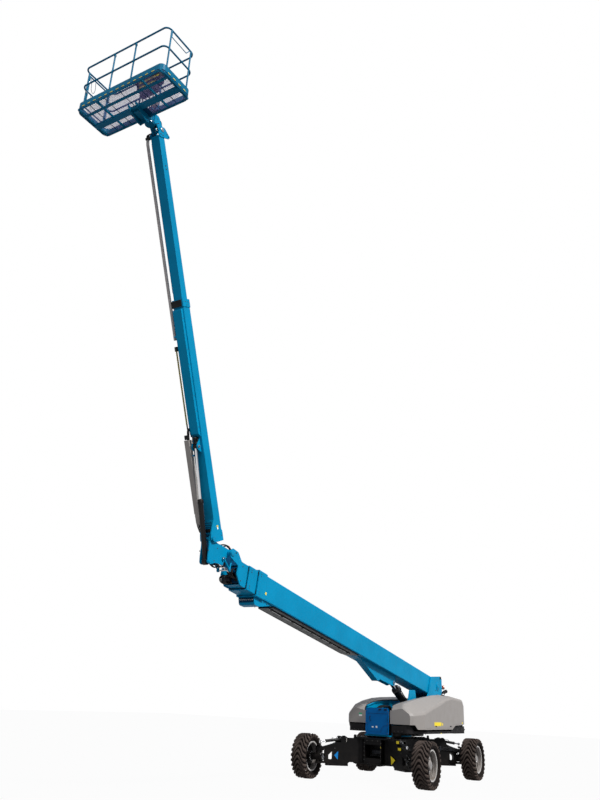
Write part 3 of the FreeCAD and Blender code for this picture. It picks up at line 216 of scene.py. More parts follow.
PLASTIC = surface("black_plastic", (0.006, 0.0058, 0.006), 0.55, 0.1, (260, 0.1), 0.002, 0.2)
YELLOW = vinyl("yellow_vinyl", (0.85, 0.65, 0.015), 0.5)
WHITE = vinyl("white_vinyl", (0.78, 0.8, 0.78), vary=0.04)
STICKER_BLUE = vinyl("blue_vinyl", (0.005, 0.19, 0.52), shine=0.2)
GREEN = vinyl("green_vinyl", (0.03, 0.36, 0.16))
AMBER = surface("amber_lens", (0.5, 0.09, 0.02), 0.25, 0.05, (60, 0.02), 0.002, coat=0.4)
# painted highlight: a lighter copy of the rim paint for the rims' lips
LIT_RIM_LIP = surface("rim_lip_painted_highlight", (0.48, 0.455, 0.43), 0.4, 0.06, edge=0.002, wear=(0.2, 0.16, 0.12))
# painted shade: a dark brown-grey for the rims' recesses
RIM_SHADE = surface("rim_recess_painted_shade", (0.15, 0.125, 0.105), 0.55, 0.2, (70, 0.08), shine=0.2, scale=5)
ZINC = surface("zinc_bolt", (0.05, 0.047, 0.045), 0.5, 0.1, (150, 0.05), 0.001, 0.3)
TAN = surface("tan_plastic", (0.42, 0.34, 0.25), 0.5, 0.06, (200, 0.05), 0.003)
RED = surface("red_plastic", (0.55, 0.02, 0.02), 0.35, 0.05, (200, 0.04), 0.002)


# ---- mesh helpers --------------------------------------------------------------------
class Piece:
    """One object gathered from many small shapes drawn in a local frame."""

    def __init__(self, name, body, where=WORLD, slot="boom_blue"):
        self.name, self.body, self.where, self.slot = name, body, where, slot
        self.mesh = bmesh.new()
        self.finishes = []

    def add(self, part, finish):
        if finish not in self.finishes:
            self.finishes.append(finish)
        index = self.finishes.index(finish)
        for face in part.faces:
            face.material_index = index
        scratch = bpy.data.meshes.new("scratch")
        part.to_mesh(scratch)
        part.free()
        self.mesh.from_mesh(scratch)
        bpy.data.meshes.remove(scratch)

    @staticmethod
    def soften(part, offset):
        edges = [e for e in part.edges if len(e.link_faces) == 2 and e.calc_face_angle() > 0.5]
        bmesh.ops.bevel(part, geom=edges, offset=offset, segments=2, affect="EDGES", profile=0.5)

    def box(self, x, y, z, finish, round_by=0.004):
        """A block between limits on each axis, with its edges rounded."""
        part = bmesh.new()
        bmesh.ops.create_cube(part, size=1.0)
        size = Vector([abs(b - a) for a, b in (x, y, z)])
        bmesh.ops.scale(part, vec=size, verts=part.verts)
        self.soften(part, min(round_by, min(size) * 0.4))
        centre = Vector([(a + b) / 2 for a, b in (x, y, z)])
        bmesh.ops.translate(part, vec=centre, verts=part.verts)
        self.add(part, finish)

    def slab(self, points, shift, finish, round_by=0.0):
        """A flat outline as thick as a shift."""
        part = bmesh.new()
        face = part.faces.new([part.verts.new(p) for p in points])
        grown = bmesh.ops.extrude_face_region(part, geom=[face])
        moved = [item for item in grown["geom"] if isinstance(item, bmesh.types.BMVert)]
        bmesh.ops.translate(part, vec=shift, verts=moved)
        bmesh.ops.recalc_face_normals(part, faces=part.faces)
        if round_by:
            self.soften(part, round_by)
        self.add(part, finish)

    def plate(self, points, span, finish, round_by):
        """An outline of (x, z) points over a span of y."""
        self.slab([(x, span[0], z) for x, z in points], Y * (span[1] - span[0]), finish, round_by)

    def sticker(self, corners, facing, finish):
        """A thin label on a flat face, from its corners taken round."""
        corners = [Vector(c) for c in corners]
        normal = (corners[1] - corners[0]).cross(corners[2] - corners[0]).normalized()
        if normal.dot(facing) < 0:
            corners.reverse()
            normal.negate()
        self.slab([c + normal * 0.0003 for c in corners], normal * 0.0012, finish)

    def label(self, facing, at, centre, size, finish=YELLOW):
        """A blank label that faces along x or y at a place, from its centre and size on the other axes."""
        (u0, u1), (v0, v1) = [mid(c, s / 2) for c, s in zip(centre, size)]
        around = ((u0, v0), (u1, v0), (u1, v1), (u0, v1))
        corners = [(at, u, v) if facing[0] else (u, at, v) for u, v in around]
        self.sticker(corners, facing, finish)

    def lathe(self, profile, finish, origin=ORIGIN, along=Z, steps=24):
        """A turned shape from (radius, distance along) pairs."""
        part = bmesh.new()
        rings = [[part.verts.new((*turned(r, 2 * math.pi * i / steps), h)) for r, h in profile]
                 for i in range(steps)]
        for one, two in zip(rings, rings[1:] + rings[:1]):
            for a in range(len(profile) - 1):
                part.faces.new((one[a], two[a], two[a + 1], one[a + 1]))
        bmesh.ops.remove_doubles(part, verts=part.verts, dist=1e-6)
        turn = Z.rotation_difference(Vector(along)).to_matrix()
        bmesh.ops.rotate(part, cent=ORIGIN, matrix=turn, verts=part.verts)
        bmesh.ops.translate(part, vec=Vector(origin), verts=part.verts)
        bmesh.ops.recalc_face_normals(part, faces=part.faces)
        self.add(part, finish)

    def plug(self, profile, finish, origin=ORIGIN, along=Z, steps=24):
        """A turned shape closed to its axis at both ends."""
        self.lathe([(0, profile[0][1]), *profile, (0, profile[-1][1])], finish, origin, along, steps)

    def disc(self, radius, height, finish, origin, along=Z, steps=24):
        self.plug([(radius, 0), (radius, height)], finish, origin, along, steps)

    def port(self, base, neck, origin, along=Z, steps=6):
        """A steel hydraulic port: a base and a narrower neck, each a radius and the heights of its ends."""
        profile = [(radius, h) for radius, *heights in (base, neck) for h in heights]
        self.plug(profile, STEEL, origin, along, steps)

    def band(self, seat, crown, half, finish, origin, along=Z, steps=16):
        """A collar round an axis, from its seat's to its crown's radius, with half its width at each."""
        wide, narrow = half
        section = [(seat, -wide), (crown, -narrow), (crown, narrow), (seat, wide)]
        self.lathe(section, finish, origin, along, steps)

    def bolt(self, point, along, size, finish=ZINC):
        """A hexagon head on its washer."""
        r = size / 2
        self.disc(r * 1.35, r * 0.22, finish, point, along, 16)
        self.plug([(r, r * 0.2), (r, r * 0.9), (r * 0.86, r * 1.02)], finish, point, along, 6)

    def bolts(self, points, along, size, finish=ZINC):
        for point in points:
            self.bolt(point, along, size, finish)

    def side_bolts(self, side, y, spots, size):
        """Bolts at (x, z) spots of a plate that faces one side."""
        self.bolts([(x, side * y, z) for x, z in spots], Y * side, size)

    def bolt_ring(self, centre, along, radius, count, size, finish=ZINC):
        along = Vector(along).normalized()
        side = along.orthogonal().normalized()
        other = along.cross(side)
        for i in range(count):
            c, s = turned(1, 2 * math.pi * i / count)
            self.bolt(Vector(centre) + (side * c + other * s) * radius, along, size, finish)

    def loft(self, rings, finish, ends=True):
        """A skin over closed rings of points, one after another."""
        part = bmesh.new()
        rings = [[part.verts.new(p) for p in ring] for ring in rings]
        count = len(rings[0])
        for one, two in zip(rings, rings[1:]):
            for k in range(count):
                part.faces.new((one[k], one[(k + 1) % count], two[(k + 1) % count], two[k]))
        if ends:
            part.faces.new(list(reversed(rings[0])))
            part.faces.new(rings[-1])
        bmesh.ops.recalc_face_normals(part, faces=part.faces)
        self.add(part, finish)

    def tube(self, points, radius, finish, sides=10):
        """A round bar or hose through points."""
        points = [Vector(p) for p in points]
        side = (points[1] - points[0]).orthogonal().normalized()
        rings = []
        for i, point in enumerate(points):
            ahead = (points[min(i + 1, len(points) - 1)] - points[max(i - 1, 0)]).normalized()
            side = (side - ahead * side.dot(ahead)).normalized()
            other = ahead.cross(side)
            turns = [turned(1, 2 * math.pi * k / sides) for k in range(sides)]
            rings.append([point + (side * c + other * s) * radius for c, s in turns])
        self.loft(rings, finish)

    def hose(self, points, radius, fittings=True, steps=6):
        """A hose on a smooth curve through points, with a crimped fitting at each end."""
        path = smooth(points, steps)
        self.tube(path, radius, HOSE)
        r = radius
        for a, b in ((path[0], path[1]), (path[-1], path[-2])) if fittings else ():
            along = (b - a).normalized()
            self.plug([(r * 1.25, 0), (r * 1.25, r * 4), (r * 1.05, r * 4.4)], ZINC, a, along, 12)
            self.plug([(r * 1.7, -r), (r * 1.7, r * 0.8)], ZINC, a, along, 6)

    def weld(self, start, end, size=0.005, finish=BLACK):
        """A weld bead along a line."""
        a, b = Vector(start), Vector(end)
        count = max(2, int((b - a).length / 0.025))
        self.tube([a.lerp(b, i / count) for i in range(count)] + [b], size, finish, 6)

    def finish(self, angle=38):
        """Makes the object, in its place and riding on its body."""
        data = bpy.data.meshes.new(self.name)
        self.mesh.to_mesh(data)
        self.mesh.free()
        data.transform(self.where)
        for made in self.finishes:
            data.materials.append(made)
        data.polygons.foreach_set("use_smooth", [True] * len(data.polygons))
        data.set_sharp_from_angle(angle=math.radians(angle))
        made = bpy.data.objects.new(self.name, data)
        bpy.context.scene.collection.objects.link(made)
        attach(made, self.body)
        return made


def smooth(points, steps):
    """A Catmull-Rom curve through points."""
    points = [Vector(p) for p in points]
    path = []
    padded = [points[0] * 2 - points[1]] + points + [points[-1] * 2 - points[-2]]
    for i in range(1, len(padded) - 2):
        a, b, c, d = padded[i - 1:i + 3]
        for k in range(steps):
            t = k / steps
            path.append(0.5 * ((2 * b) + (c - a) * t + (2 * a - 5 * b + 4 * c - d) * t * t
                               + (3 * b - a - 3 * c + d) * t ** 3))
    return path + [points[-1]]


# ---- wheels --------------------------------------------------------------------------
TYRE_R = 0.575
TYRE_HALF = 0.2225
LUGS = 26
LUG_SWEEP = 0.44        # how far a lug's arms trail its middle, in radians round the tyre
BARREL = 0.3445         # inside radius of the rim


def outward(corner):
    return 1 if "left" in corner else -1


def carcass_profile():
    """Radius and distance across of the tyre's skin between the lugs, from bead to bead."""
    side = [(0.36, 0.15), (0.378, 0.1505), (0.388, 0.164), (0.398, 0.182), (0.41, 0.196), (0.422, 0.206),
            (0.428, 0.212), (0.436, 0.212), (0.442, 0.209), (0.462, 0.216), (0.474, 0.2185),
            (0.482, 0.2185), (0.488, 0.214), (0.508, 0.205), (0.522, 0.188), (0.533, 0.16), (0.538, 0.08)]
    return [(r, -y) for r, y in side] + [(0.539, 0.0)] + side[::-1]


def lug_section(s):
    """Distance across, foot radius, crown radius and width of a lug at s, from -1 at one shoulder to 1."""
    t = abs(s)
    if t < 0.78:
        across, foot, crown = t / 0.78 * 0.178, 0.53, TYRE_R - 0.006 * (t / 0.78) ** 2
    else:
        k = (t - 0.78) / 0.22
        bend = math.radians(82) * min(1.0, k * 1.25)
        across = 0.178 + 0.044 * math.sin(bend)
        crown = TYRE_R - 0.006 - 0.04 * (1 - math.cos(bend)) - 0.052 * max(0.0, k - 0.8) / 0.2
        foot = crown - 0.036 + 0.016 * k
    width = 0.08 + 0.008 * t - 0.022 * max(0.0, t - 0.8) / 0.2
    return math.copysign(min(across, TYRE_HALF), s), foot, crown, width


def lug_rings(start):
    """Cross-sections of one chevron lug, whose middle leads at an angle round the tyre."""
    rings = []
    for s in row(-1, 0.1, 21):
        across, foot, crown, width = lug_section(s)
        turn = start - LUG_SWEEP * (0.5 - 0.5 * math.cos(math.pi * min(1.0, abs(s) / 0.92)))
        inset = math.copysign(0.012 if abs(s) > 0.8 else 0.0, s)
        ring = []
        for side, radius, pull in ((-0.5, foot, inset), (-0.4, crown - 0.006, 0), (-0.33, crown, 0),
                                   (0.33, crown, 0), (0.4, crown - 0.006, 0), (0.5, foot, inset)):
            x, z = turned(radius, turn + side * width / TYRE_R)
            ring.append((x, across - pull, z))
        rings.append(ring)
    return rings


def tyre(corner):
    """Tyre with its sidewall ribs and one chevron lug after another round the tread."""
    where = place(spot("wheel_spin_" + corner), ROLL)
    piece = Piece("tyre_tread_" + corner, "wheel_" + corner, where, "tyre_rubber")
    piece.lathe(carcass_profile(), RUBBER_DARK, along=Y, steps=72)
    for i in range(LUGS):
        piece.loft(lug_rings(2 * math.pi * i / LUGS), RUBBER)
    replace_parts(piece.finish(50), "tyre_" + corner)


def rim_fittings(corner):
    """Wheel nuts, hub cap and valve, the rim's lips with a painted highlight and ridges, and painted shade in
    the recesses and on the back of its dish.
    """
    where = place(spot("wheel_spin_" + corner), ROLL)
    piece = Piece("wheel_bolts_" + corner, "wheel_" + corner, where, "rim_silver")
    out = Y * outward(corner)
    piece.bolt_ring(out * 0.06, out, 0.16, 10, 0.032, STEEL)
    piece.bolt_ring(out * 0.129, out, 0.07, 8, 0.016, STEEL)
    piece.plug([(0.03, 0), (0.03, 0.008), (0.022, 0.013)], STEEL, out * 0.129, out)
    piece.tube([X * x + out * y for x, y in ((0.312, 0.04), (0.32, 0.075), (0.318, 0.1))], 0.006, HOSE, 8)
    # the lips, in the lighter copy of the rim paint: painted highlight
    for end in SIDES:
        piece.lathe([(0.3435, -0.004), (0.344, 0.0015), (0.366, 0.0035), (0.3775, 0.0015), (0.3783, -0.004)],
                    LIT_RIM_LIP, Y * end * 0.165, Y * end, 72)
    for h, deep in ((0.146, 0.008), (0.112, 0.012), (0.072, 0.016)):
        piece.band(BARREL, BARREL - deep, (0.007, 0.004), SILVER, out * h, out, 72)
    # painted shade: darker rings and strips in the dish's recesses
    shades = [[(0.3443, 0.05), (0.3436, 0.05), (0.3436, 0.066), (0.3443, 0.066)],
              [(0.3435, 0.0235), (0.3405, 0.0245), (0.318, 0.029), (0.306, 0.0325), (0.306, 0.0305)],
              [(0.275, 0.04), (0.268, 0.0425), (0.252, 0.0455), (0.246, 0.0465), (0.246, 0.042)],
              [(0.146, 0.061), (0.132, 0.064), (0.13, 0.061)]]
    for profile in shades:
        piece.lathe(profile, RIM_SHADE, ORIGIN, out, 72 if profile[0][0] > 0.2 else 48)
    # eight dark discs in the dish's recesses: painted shade
    for k in range(8):
        x, z = turned(0.222, 2 * math.pi * (k + 0.5) / 8)
        piece.disc(0.021, 0.003, RIM_SHADE, X * x + out * 0.0515 + Z * z, out, 16)
    # painted shade: a dark sheet over the back of the dish, towards the drive hub
    piece.lathe([(0.343, -0.01), (0.335, 0.002), (0.3, 0.011), (0.25, 0.022), (0.2, 0.028), (0.15, 0.031)],
                IRON, ORIGIN, out, 72)
    piece.finish()


# ---- undercarriage -------------------------------------------------------------------
CHASSIS_TOP, CHASSIS_END, CHASSIS_SIDE = 1.1, 1.5, 0.62
PIN_X, PIN_Y = 1.28, 0.43       # a leg's pin in the chassis
WALL = 1.128                    # cross wall of the open bay in each end
LEG_MARKS = {"front_left": [(0.66, 0.89, 0.26, 0.065), (0.585, 1.05, 0.22, 0.07)],
             "front_right": [(0.46, 1.02, 0.018, 0.1)]}
LEG_MARK = [(0.654, 0.867, 0.035, 0.1)]


def run(y, *spots):
    """Points at one y from their x and z."""
    return [(x, y, z) for x, z in spots]


def fan(y, *spots):
    """Points whose x and z are given, with a share of y between them."""
    return [(x, y * share, z) for x, share, z in spots]


def chassis_fittings():
    """Ring bolts, pin heads, the end bays with their hoses, covers, welds and belly guards."""
    piece = Piece("chassis_fittings", "chassis", UNDER, "chassis_black")
    top = CHASSIS_TOP
    piece.bolt_ring((0, 0, top), Z, 0.585, 40, 0.024)
    for sx in SIDES:
        end, wall = sx * CHASSIS_END, sx * WALL
        for sy in SIDES:
            pin = (sx * PIN_X, sy * PIN_Y, top + 0.02)
            piece.bolt_ring(pin, Z, 0.078, 6, 0.022)
            piece.plug([(0.014, 0), (0.014, 0.012), (0.006, 0.02)], STEEL, pin, Z, 12)
            piece.box(mid(sx * 0.86, 0.02), (sy * 0.27, sy * 0.41), (top, top + 0.036), CHARCOAL)
            # stiffeners and bolted covers on the end's outer plates
            piece.box((end, end + sx * 0.006), (sy * 0.232, sy * 0.258), (0.5, 1.04), BLACK)
            piece.bolts([(end + sx * 0.008, sy * 0.245, z) for z in row(0.56, 0.105, 5)], X * sx, 0.018)
            piece.box((wall, wall + sx * 0.06), (sy * 0.14, sy * 0.17), (0.62, 0.9), BLACK)
            # hose bundle along the deck, dipping into the pin's pocket
            for k in range(3):
                y = 0.3 + 0.035 * k
                piece.hose([(sx * x, sy * y, top + z) for x, y, z in (
                    (0.62, y, 0.012), (0.8, y + 0.01, 0.022), (0.98, y + 0.05, 0.024),
                    (1.12, 0.36 + 0.02 * k, 0.014))], 0.009)
        # the open bay in each end: a manifold on the cross wall, with hoses looping down and away
        port = wall + sx * 0.1
        piece.box((wall, port), (-0.13, 0.13), (0.66, 0.8), CHARCOAL, 0.006)
        for y in row(-0.1, 0.05, 5):
            piece.bolt((port, y, 0.775), X * sx, 0.018)
            piece.hose(fan(y, (port, 1, 0.7), (port + sx * 0.07, 1, 0.69), (port + sx * 0.1, 1.3, 0.645),
                           (port + sx * 0.02, 1.6, 0.615), (wall + sx * 0.01, 1.6, 0.625)), 0.01)
        piece.box((end, end + sx * 0.012), (-0.22, 0.22), (1.02, 1.06), BLACK)
        piece.box((end, end + sx * 0.03), (-0.24, 0.24), (0.448, 0.478), BLACK, 0.006)
        piece.bolts([(end + sx * 0.012, y, 1.04) for y in (-0.16, 0.0, 0.16)], X * sx, 0.02)
        piece.box((sx * 1.02, sx * 1.44), (-0.2, 0.2), (0.405, 0.442), BLACK, 0.01)
    for sy in SIDES:
        face = sy * CHASSIS_SIDE
        piece.box((-0.62, 0.62), (face, face + sy * 0.01), (0.6, 0.94), BLACK)
        piece.side_bolts(sy, 0.63, [(x, z) for x in row(-0.58, 0.145, 9) for z in (0.63, 0.91)], 0.018)
        for x in (-0.78, 0.78):
            piece.box(mid(x, 0.006), (face, face + sy * 0.05), (0.47, 1.08), BLACK)
        for z in (top - 0.02, 0.46):
            piece.weld((-0.98, face, z), (0.98, face, z))
    # guard and drain cover under the belly
    piece.box((-0.3, 0.3), (-0.26, 0.26), (0.39, 0.442), BLACK, 0.012)
    piece.bolt_ring((0, 0, 0.39), -Z, 0.2, 8, 0.02)
    piece.label(X, CHASSIS_END + 0.0083, (0.2475, 0.88), (0.015, 0.04))
    piece.finish()


def leg_half(s):
    """Half the leg's width at a distance from its pivot, as its plates taper."""
    start, end = 0.35 * LEG_REACH, LEG_REACH - 0.1
    return 0.125 - 0.05 * min(1.0, max(0.0, (s - start) / (end - start)))


def leg_fittings(corner):
    """Hoses, clips, welds, pin heads and blank labels on one leg."""
    where = place(LEG_PIN[corner], LEG_RUN[corner])
    piece = Piece("leg_fittings_" + corner, "leg_" + corner, where, "chassis_black")
    outer = outward(corner) * (-1 if "front" in corner else 1)      # the side away from the machine's middle
    reach = LEG_REACH
    # motor hoses along the inner side, held by clips
    for z in row(0.8, 0.035, 3):
        path = [(0.3, 0.155, 0), (0.45, leg_half(0.45) + 0.02, 0), (0.7, leg_half(0.6) + 0.016, 0.01),
                (0.9, leg_half(0.9) + 0.016, 0.02), (reach - 0.16, 0.115, 0.05), (reach - 0.03, 0.2, 0.1)]
        piece.hose([(s, -outer * y, z - drop) for s, y, drop in path], 0.011)
    for s in (0.52, 0.86):
        y = leg_half(s)
        piece.box(mid(s, 0.02), (-outer * y, -outer * (y + 0.034)), (0.765, 0.9), CHARCOAL)
        piece.side_bolts(-outer, y + 0.034, [(s, 0.89)], 0.016)
    # tower cover with its bolts, and the steering hoses at the tower's foot
    piece.box((0.455, 0.665), (-0.085, 0.085), (1.098, 1.106), BLACK)
    piece.bolts([(s, y, 1.106) for s in (0.475, 0.645) for y in (-0.065, 0.065)], Z, 0.016)
    for k in range(2):
        y, wide = k - 1, k - 0.5
        piece.hose([(0.4, 0.03 * y, 0.99), (0.415, 0.03 * y, 1.045), (0.44, 0.02 * y, 1.08 + 0.012 * k),
                    (0.5, 0.04 * wide, 1.11 + 0.01 * k), (0.56, 0.04 * wide, 1.116)], 0.009, False)
    # king pin keepers and grease points
    for z, face in ((0.832, 1), (0.415, -1)):
        piece.box((reach + 0.032, reach + 0.078), (-0.03, 0.03), (z, z + face * 0.01), BLACK, 0.002)
        piece.bolt((reach + 0.062, 0, z + face * 0.01), Z * face, 0.016)
    # weld beads where the tower meets the leg and along the skid plate
    for side in SIDES:
        for (a, a_z), (b, b_z) in (((0.7, 0.947), (0.8, 0.925)), ((0.43, 0.424), (reach - 0.22, 0.424))):
            piece.weld((a, side * leg_half(a), a_z), (b, side * leg_half(b), b_z))
        piece.side_bolts(side, leg_half(reach - 0.44), [(reach - 0.44, 0.8)], 0.022)
    if corner == "front_left":
        spots, finish = ((0.55, 0.61), (0.31, 0.7), (0.34, 0.48)), YELLOW
        piece.sticker(run(outer * (leg_half(0.31) + 0.024), *spots), Y * outer, finish)
    elif corner == "front_right":
        spots = ((0.8, 0.628), (0.69, 0.732), (0.697, 0.514))
        piece.sticker([(s, outer * leg_half(s), z) for s, z in spots], Y * outer, STICKER_BLUE)
    for s, z, wide, high in LEG_MARKS.get(corner, LEG_MARK):
        piece.label(Y * outer, outer * (leg_half(s) + 0.0006), (s, z), (wide, high),
                    GREY_TRAY if corner == "front_right" else YELLOW)
    piece.finish()


def knuckle_fittings(corner):
    """Motor end cap with its ring of bolts and ports, and the hub flange's bolts."""
    where = place(flat(spot("steer_" + corner), TYRE_R), ROLL)
    piece = Piece("motor_fittings_" + corner, "knuckle_" + corner, where, "chassis_black")
    inward = Y * -outward(corner)
    end = inward * 0.14
    piece.plug([(0.074, 0), (0.074, 0.01), (0.052, 0.018), (0.04, 0.018), (0.036, 0.01), (0.026, 0.01),
                (0.024, 0.026), (0.01, 0.026), (0.01, 0.018)], STEEL, end, inward, 32)
    piece.bolt_ring(end + inward * 0.006, inward, 0.064, 8, 0.016, STEEL)
    piece.bolt_ring(inward * -0.21, inward, 0.112, 12, 0.018, STEEL)
    for k, angle in enumerate((35, 90, 145)):
        x, z = turned(1, math.radians(angle))
        ahead = X * x + Z * z
        foot = end - inward * 0.035 + ahead * 0.1
        piece.port((0.015, 0, 0.02), (0.011, 0.024, 0.034), foot - ahead * 0.012, ahead)
        piece.hose([foot + ahead * 0.02, foot + ahead * 0.06 + inward * 0.02,
                    foot + ahead * 0.07 + inward * 0.07 + Z * 0.02 * k], 0.009)
    piece.finish()


def steering_fittings(corner):
    """Gland nut, ports and pipes of one steering cylinder."""
    where = place(spot("steer_barrel_swing_" + corner), axis("steer_rod_slide_" + corner))
    piece = Piece("steer_ram_fittings_" + corner, "steer_barrel_" + corner, where, "chassis_black")
    piece.lathe([(0.02, 0), (0.036, 0), (0.036, 0.014), (0.02, 0.014)], STEEL, (0, 0, 0.03))
    for s in (0.11, 0.27):
        piece.port((0.014, 0, 0.018), (0.01, 0.018, 0.03), (s, 0, 0.034))
    feed = [(0.11, 0, 0.066), (0.09, 0.0, 0.085), (0.04, 0.005, 0.085), (0.0, 0.01, 0.07)]
    piece.hose(feed, 0.008, steps=5)
    pipe = [(0.27, 0, 0.06), (0.255, 0, 0.068), (0.14, 0.012, 0.062), (0.11, 0.012, 0.05)]
    piece.tube(pipe, 0.005, STEEL, 8)
    piece.finish()


# ---- turret --------------------------------------------------------------------------
def panel_fittings():
    """Hinges, latches, pull, door lines and blank labels on the turret's front panel."""
    piece = Piece("front_panel_fittings", "turret")
    face = 1.112
    for y in (0.1, 0.27):
        piece.box((face, face + 0.02), mid(y, 0.045), (1.834, 1.866), PLASTIC, 0.005)
        piece.box((face + 0.02, face + 0.032), (y + 0.004, y + 0.04), (1.842, 1.858), PLASTIC, 0.003)
    # hinges in the darker blue: painted shade
    for z in (1.32, 1.62):
        piece.tube([(face + 0.004, 0.336, end) for end in mid(z, 0.05)], 0.009, SHADED_BLUE)
    pull = run(-0.2, (face, 1.55), (face + 0.05, 1.555), (face + 0.05, 1.665), (face, 1.67))
    piece.tube(pull, 0.008, PLASTIC, 8)
    piece.bolts([(face, y, z) for y in (-0.33, 0.33) for z in (1.23, 1.48, 1.8)], X, 0.02)
    # the door's edges, shown as a dark rubber seal
    piece.tube([(face, y, 1.742) for y in (-0.29, 0.338)], 0.0035, PLASTIC, 6)
    edge = [(face, y, z) for y, z in ((0.338, 1.43), (0.23, 1.425), (0.15, 1.36), (0.118, 1.255))]
    piece.tube(smooth(edge, 6), 0.0035, PLASTIC, 6)
    for spot_yz, high in (((-0.13, 1.385), 0.035), ((-0.01, 1.39), 0.045)):
        piece.label(X, face, spot_yz, (0.05, high), WHITE)
    piece.finish()


def bay_fittings():
    """Valve blocks, pump lines and the hose run that fill the open bay between the cowls."""
    piece = Piece("bay_fittings", "turret", slot="chassis_black")
    deck = 1.182
    for x, y, z, finish, round_by in (
            ((0.36, 0.95), (-0.34, 0.34), (deck, 1.56), PLASTIC, 0.03),
            ((0.42, 0.62), (-0.34, 0.34), (1.54, 1.7), CHARCOAL, 0.012),
            ((-0.8, 0.18), (-0.375, -0.16), (deck, 1.72), CHARCOAL, 0.04),     # tank
            ((-0.64, -0.6), (-0.38, -0.155), (1.2, 1.726), STEEL, 0.002),    # its straps
            ((-0.02, 0.02), (-0.38, -0.155), (1.2, 1.726), STEEL, 0.002),
            ((-0.7, 0.22), (0.16, 0.375), (deck, 1.6), PLASTIC, 0.03),
            ((-2.52, -2.36), (-0.16, 0.16), (1.6, 1.72), CHARCOAL, 0.01)):
        piece.box(x, y, z, finish, round_by)
    for k, y in enumerate((-0.31, -0.25, -0.19, 0.19, 0.25, 0.31)):
        piece.port((0.02, 0, 0.05), (0.014, 0.056, 0.09), (0.46, y, 1.7), Z, 12)
        piece.hose(fan(y, (0.56, 1, 1.7), (0.56, 1, 1.8), (0.4, 1, 1.9), (0.1, 1.05, 1.955 - 0.012 * k),
                       (-0.25, 0.95, 1.93), (-0.62, 0.9, 1.78), (-0.9, 0.9, 1.5), (-0.95, 0.9, 1.3)), 0.017)
    piece.plug([(0.05, 0), (0.05, 0.03), (0.042, 0.045)], PLASTIC, (-0.3, -0.265, 1.72), Z, 20)
    for x in (-0.5, -0.2, 0.1):
        piece.plug([(0.062, 0), (0.062, 0.16), (0.05, 0.18)], ENGINE, (x, 0.265, 1.6), Z, 20)
    for k in range(4):
        y, z = 0.02 * k, 1.66 + 0.05 * k
        piece.hose([(0.2, 0.33 - y, z - 0.02), (-0.15, 0.35 - y, z + 0.1), (-0.55, 0.32, z + 0.16),
                    (-0.8, 0.28, z + 0.05), (-0.86, 0.24, z - 0.25)], 0.015)
    # hoses rising between the risers to the boom's foot
    for y in row(-0.1, 0.05, 5):
        piece.hose(fan(y, (-2.44, 1, 1.7), (-2.45, 1, 1.98), (-2.62, 0.9, 2.16), (-2.86, 0.8, 2.2),
                       (-2.98, 0.8, 2.225)), 0.014)
    piece.finish()


def turret_fittings():
    """Pin keepers, bolts, edge strips, lamps and hooks on the turret's frame, and the exhaust."""
    piece = Piece("turret_fittings", "turret", slot="chassis_black")
    pivot = spot("boom_lift")
    for side in SIDES:
        out = Y * side
        pin = Vector((pivot.x, side * 0.31, pivot.z))
        piece.plug([(0.092, 0), (0.092, 0.008), (0.074, 0.014)], BLUE, pin, out, 32)
        piece.bolt_ring(pin + out * 0.008, out, 0.068, 6, 0.022)
        piece.box((-3.265, -3.16), (side * 0.294, side * 0.304), (2.86, 2.935), PLASTIC)
        piece.side_bolts(side, 0.294, ((-3.02, 2.34), (-2.84, 2.36), (-3.16, 2.44), (-2.76, 2.5)), 0.026)
        piece.box((-1.34, 0.955), (side * 0.4005, side * 0.412), (1.15, 1.262), BLACK, 0.003)
        # rubber strip along the bay's lip
        lip = run(side * 0.4, (0.955, 1.962), (0.47, 2.057), (-0.41, 2.122), (-1.55, 2.118))
        piece.tube(smooth(lip, 5), 0.01, PLASTIC, 8)
        piece.side_bolts(side, 0.412, ((-0.2, 1.2), (-0.9, 1.2), (-1.5, 1.2)), 0.022)
        piece.disc(0.06, 0.006, STEEL, (-2.155, side * 0.267, 1.35), out)
        # tail lamp, hook and step bolts on the cast tail
        piece.box((-3.436, -3.418), mid(side * 0.6, 0.07), (1.355, 1.405), RED, 0.008)
        piece.box((-3.432, -3.418), mid(side * 0.6, 0.085), (1.342, 1.418), PLASTIC)
        hook = run(side * 0.34, (-3.42, 1.3), (-3.465, 1.3), (-3.465, 1.37), (-3.42, 1.37))
        piece.tube(smooth(hook, 5), 0.012, STEEL)
        piece.side_bolts(side, 1.15, ((-2.25, 1.36), (-2.65, 1.36), (-2.95, 1.36)), 0.036)
    piece.bolts([(-3.32, y, z) for y in (-0.16, -0.05, 0.05, 0.16) for z in (1.6, 1.9)], -X, 0.036)
    piece.finish()
    pipe = Piece("exhaust_stub", "cowl_left", slot="chassis_black")
    mouth = (-2.36, 0.8, 2.465)
    bend = smooth([(-2.06, 0.78, 2.27), (-2.1, 0.78, 2.36), (-2.2, 0.785, 2.43), mouth], 6)
    pipe.tube(bend, 0.052, PLASTIC, 20)
    pipe.lathe([(0.05, 0), (0.062, 0.004), (0.062, 0.03), (0.05, 0.034)], STEEL, (-2.085, 0.78, 2.33),
               (-0.4, 0, 0.9))
    pipe.lathe([(0, -0.04), (0.042, -0.04), (0.042, -0.002), (0.052, 0.002)], PLASTIC, mouth,
               (-0.98, 0.1, 0.15))
    pipe.box((-2.12, -2.0), (0.71, 0.85), (2.255, 2.295), PLASTIC, 0.006)
    pipe.finish()


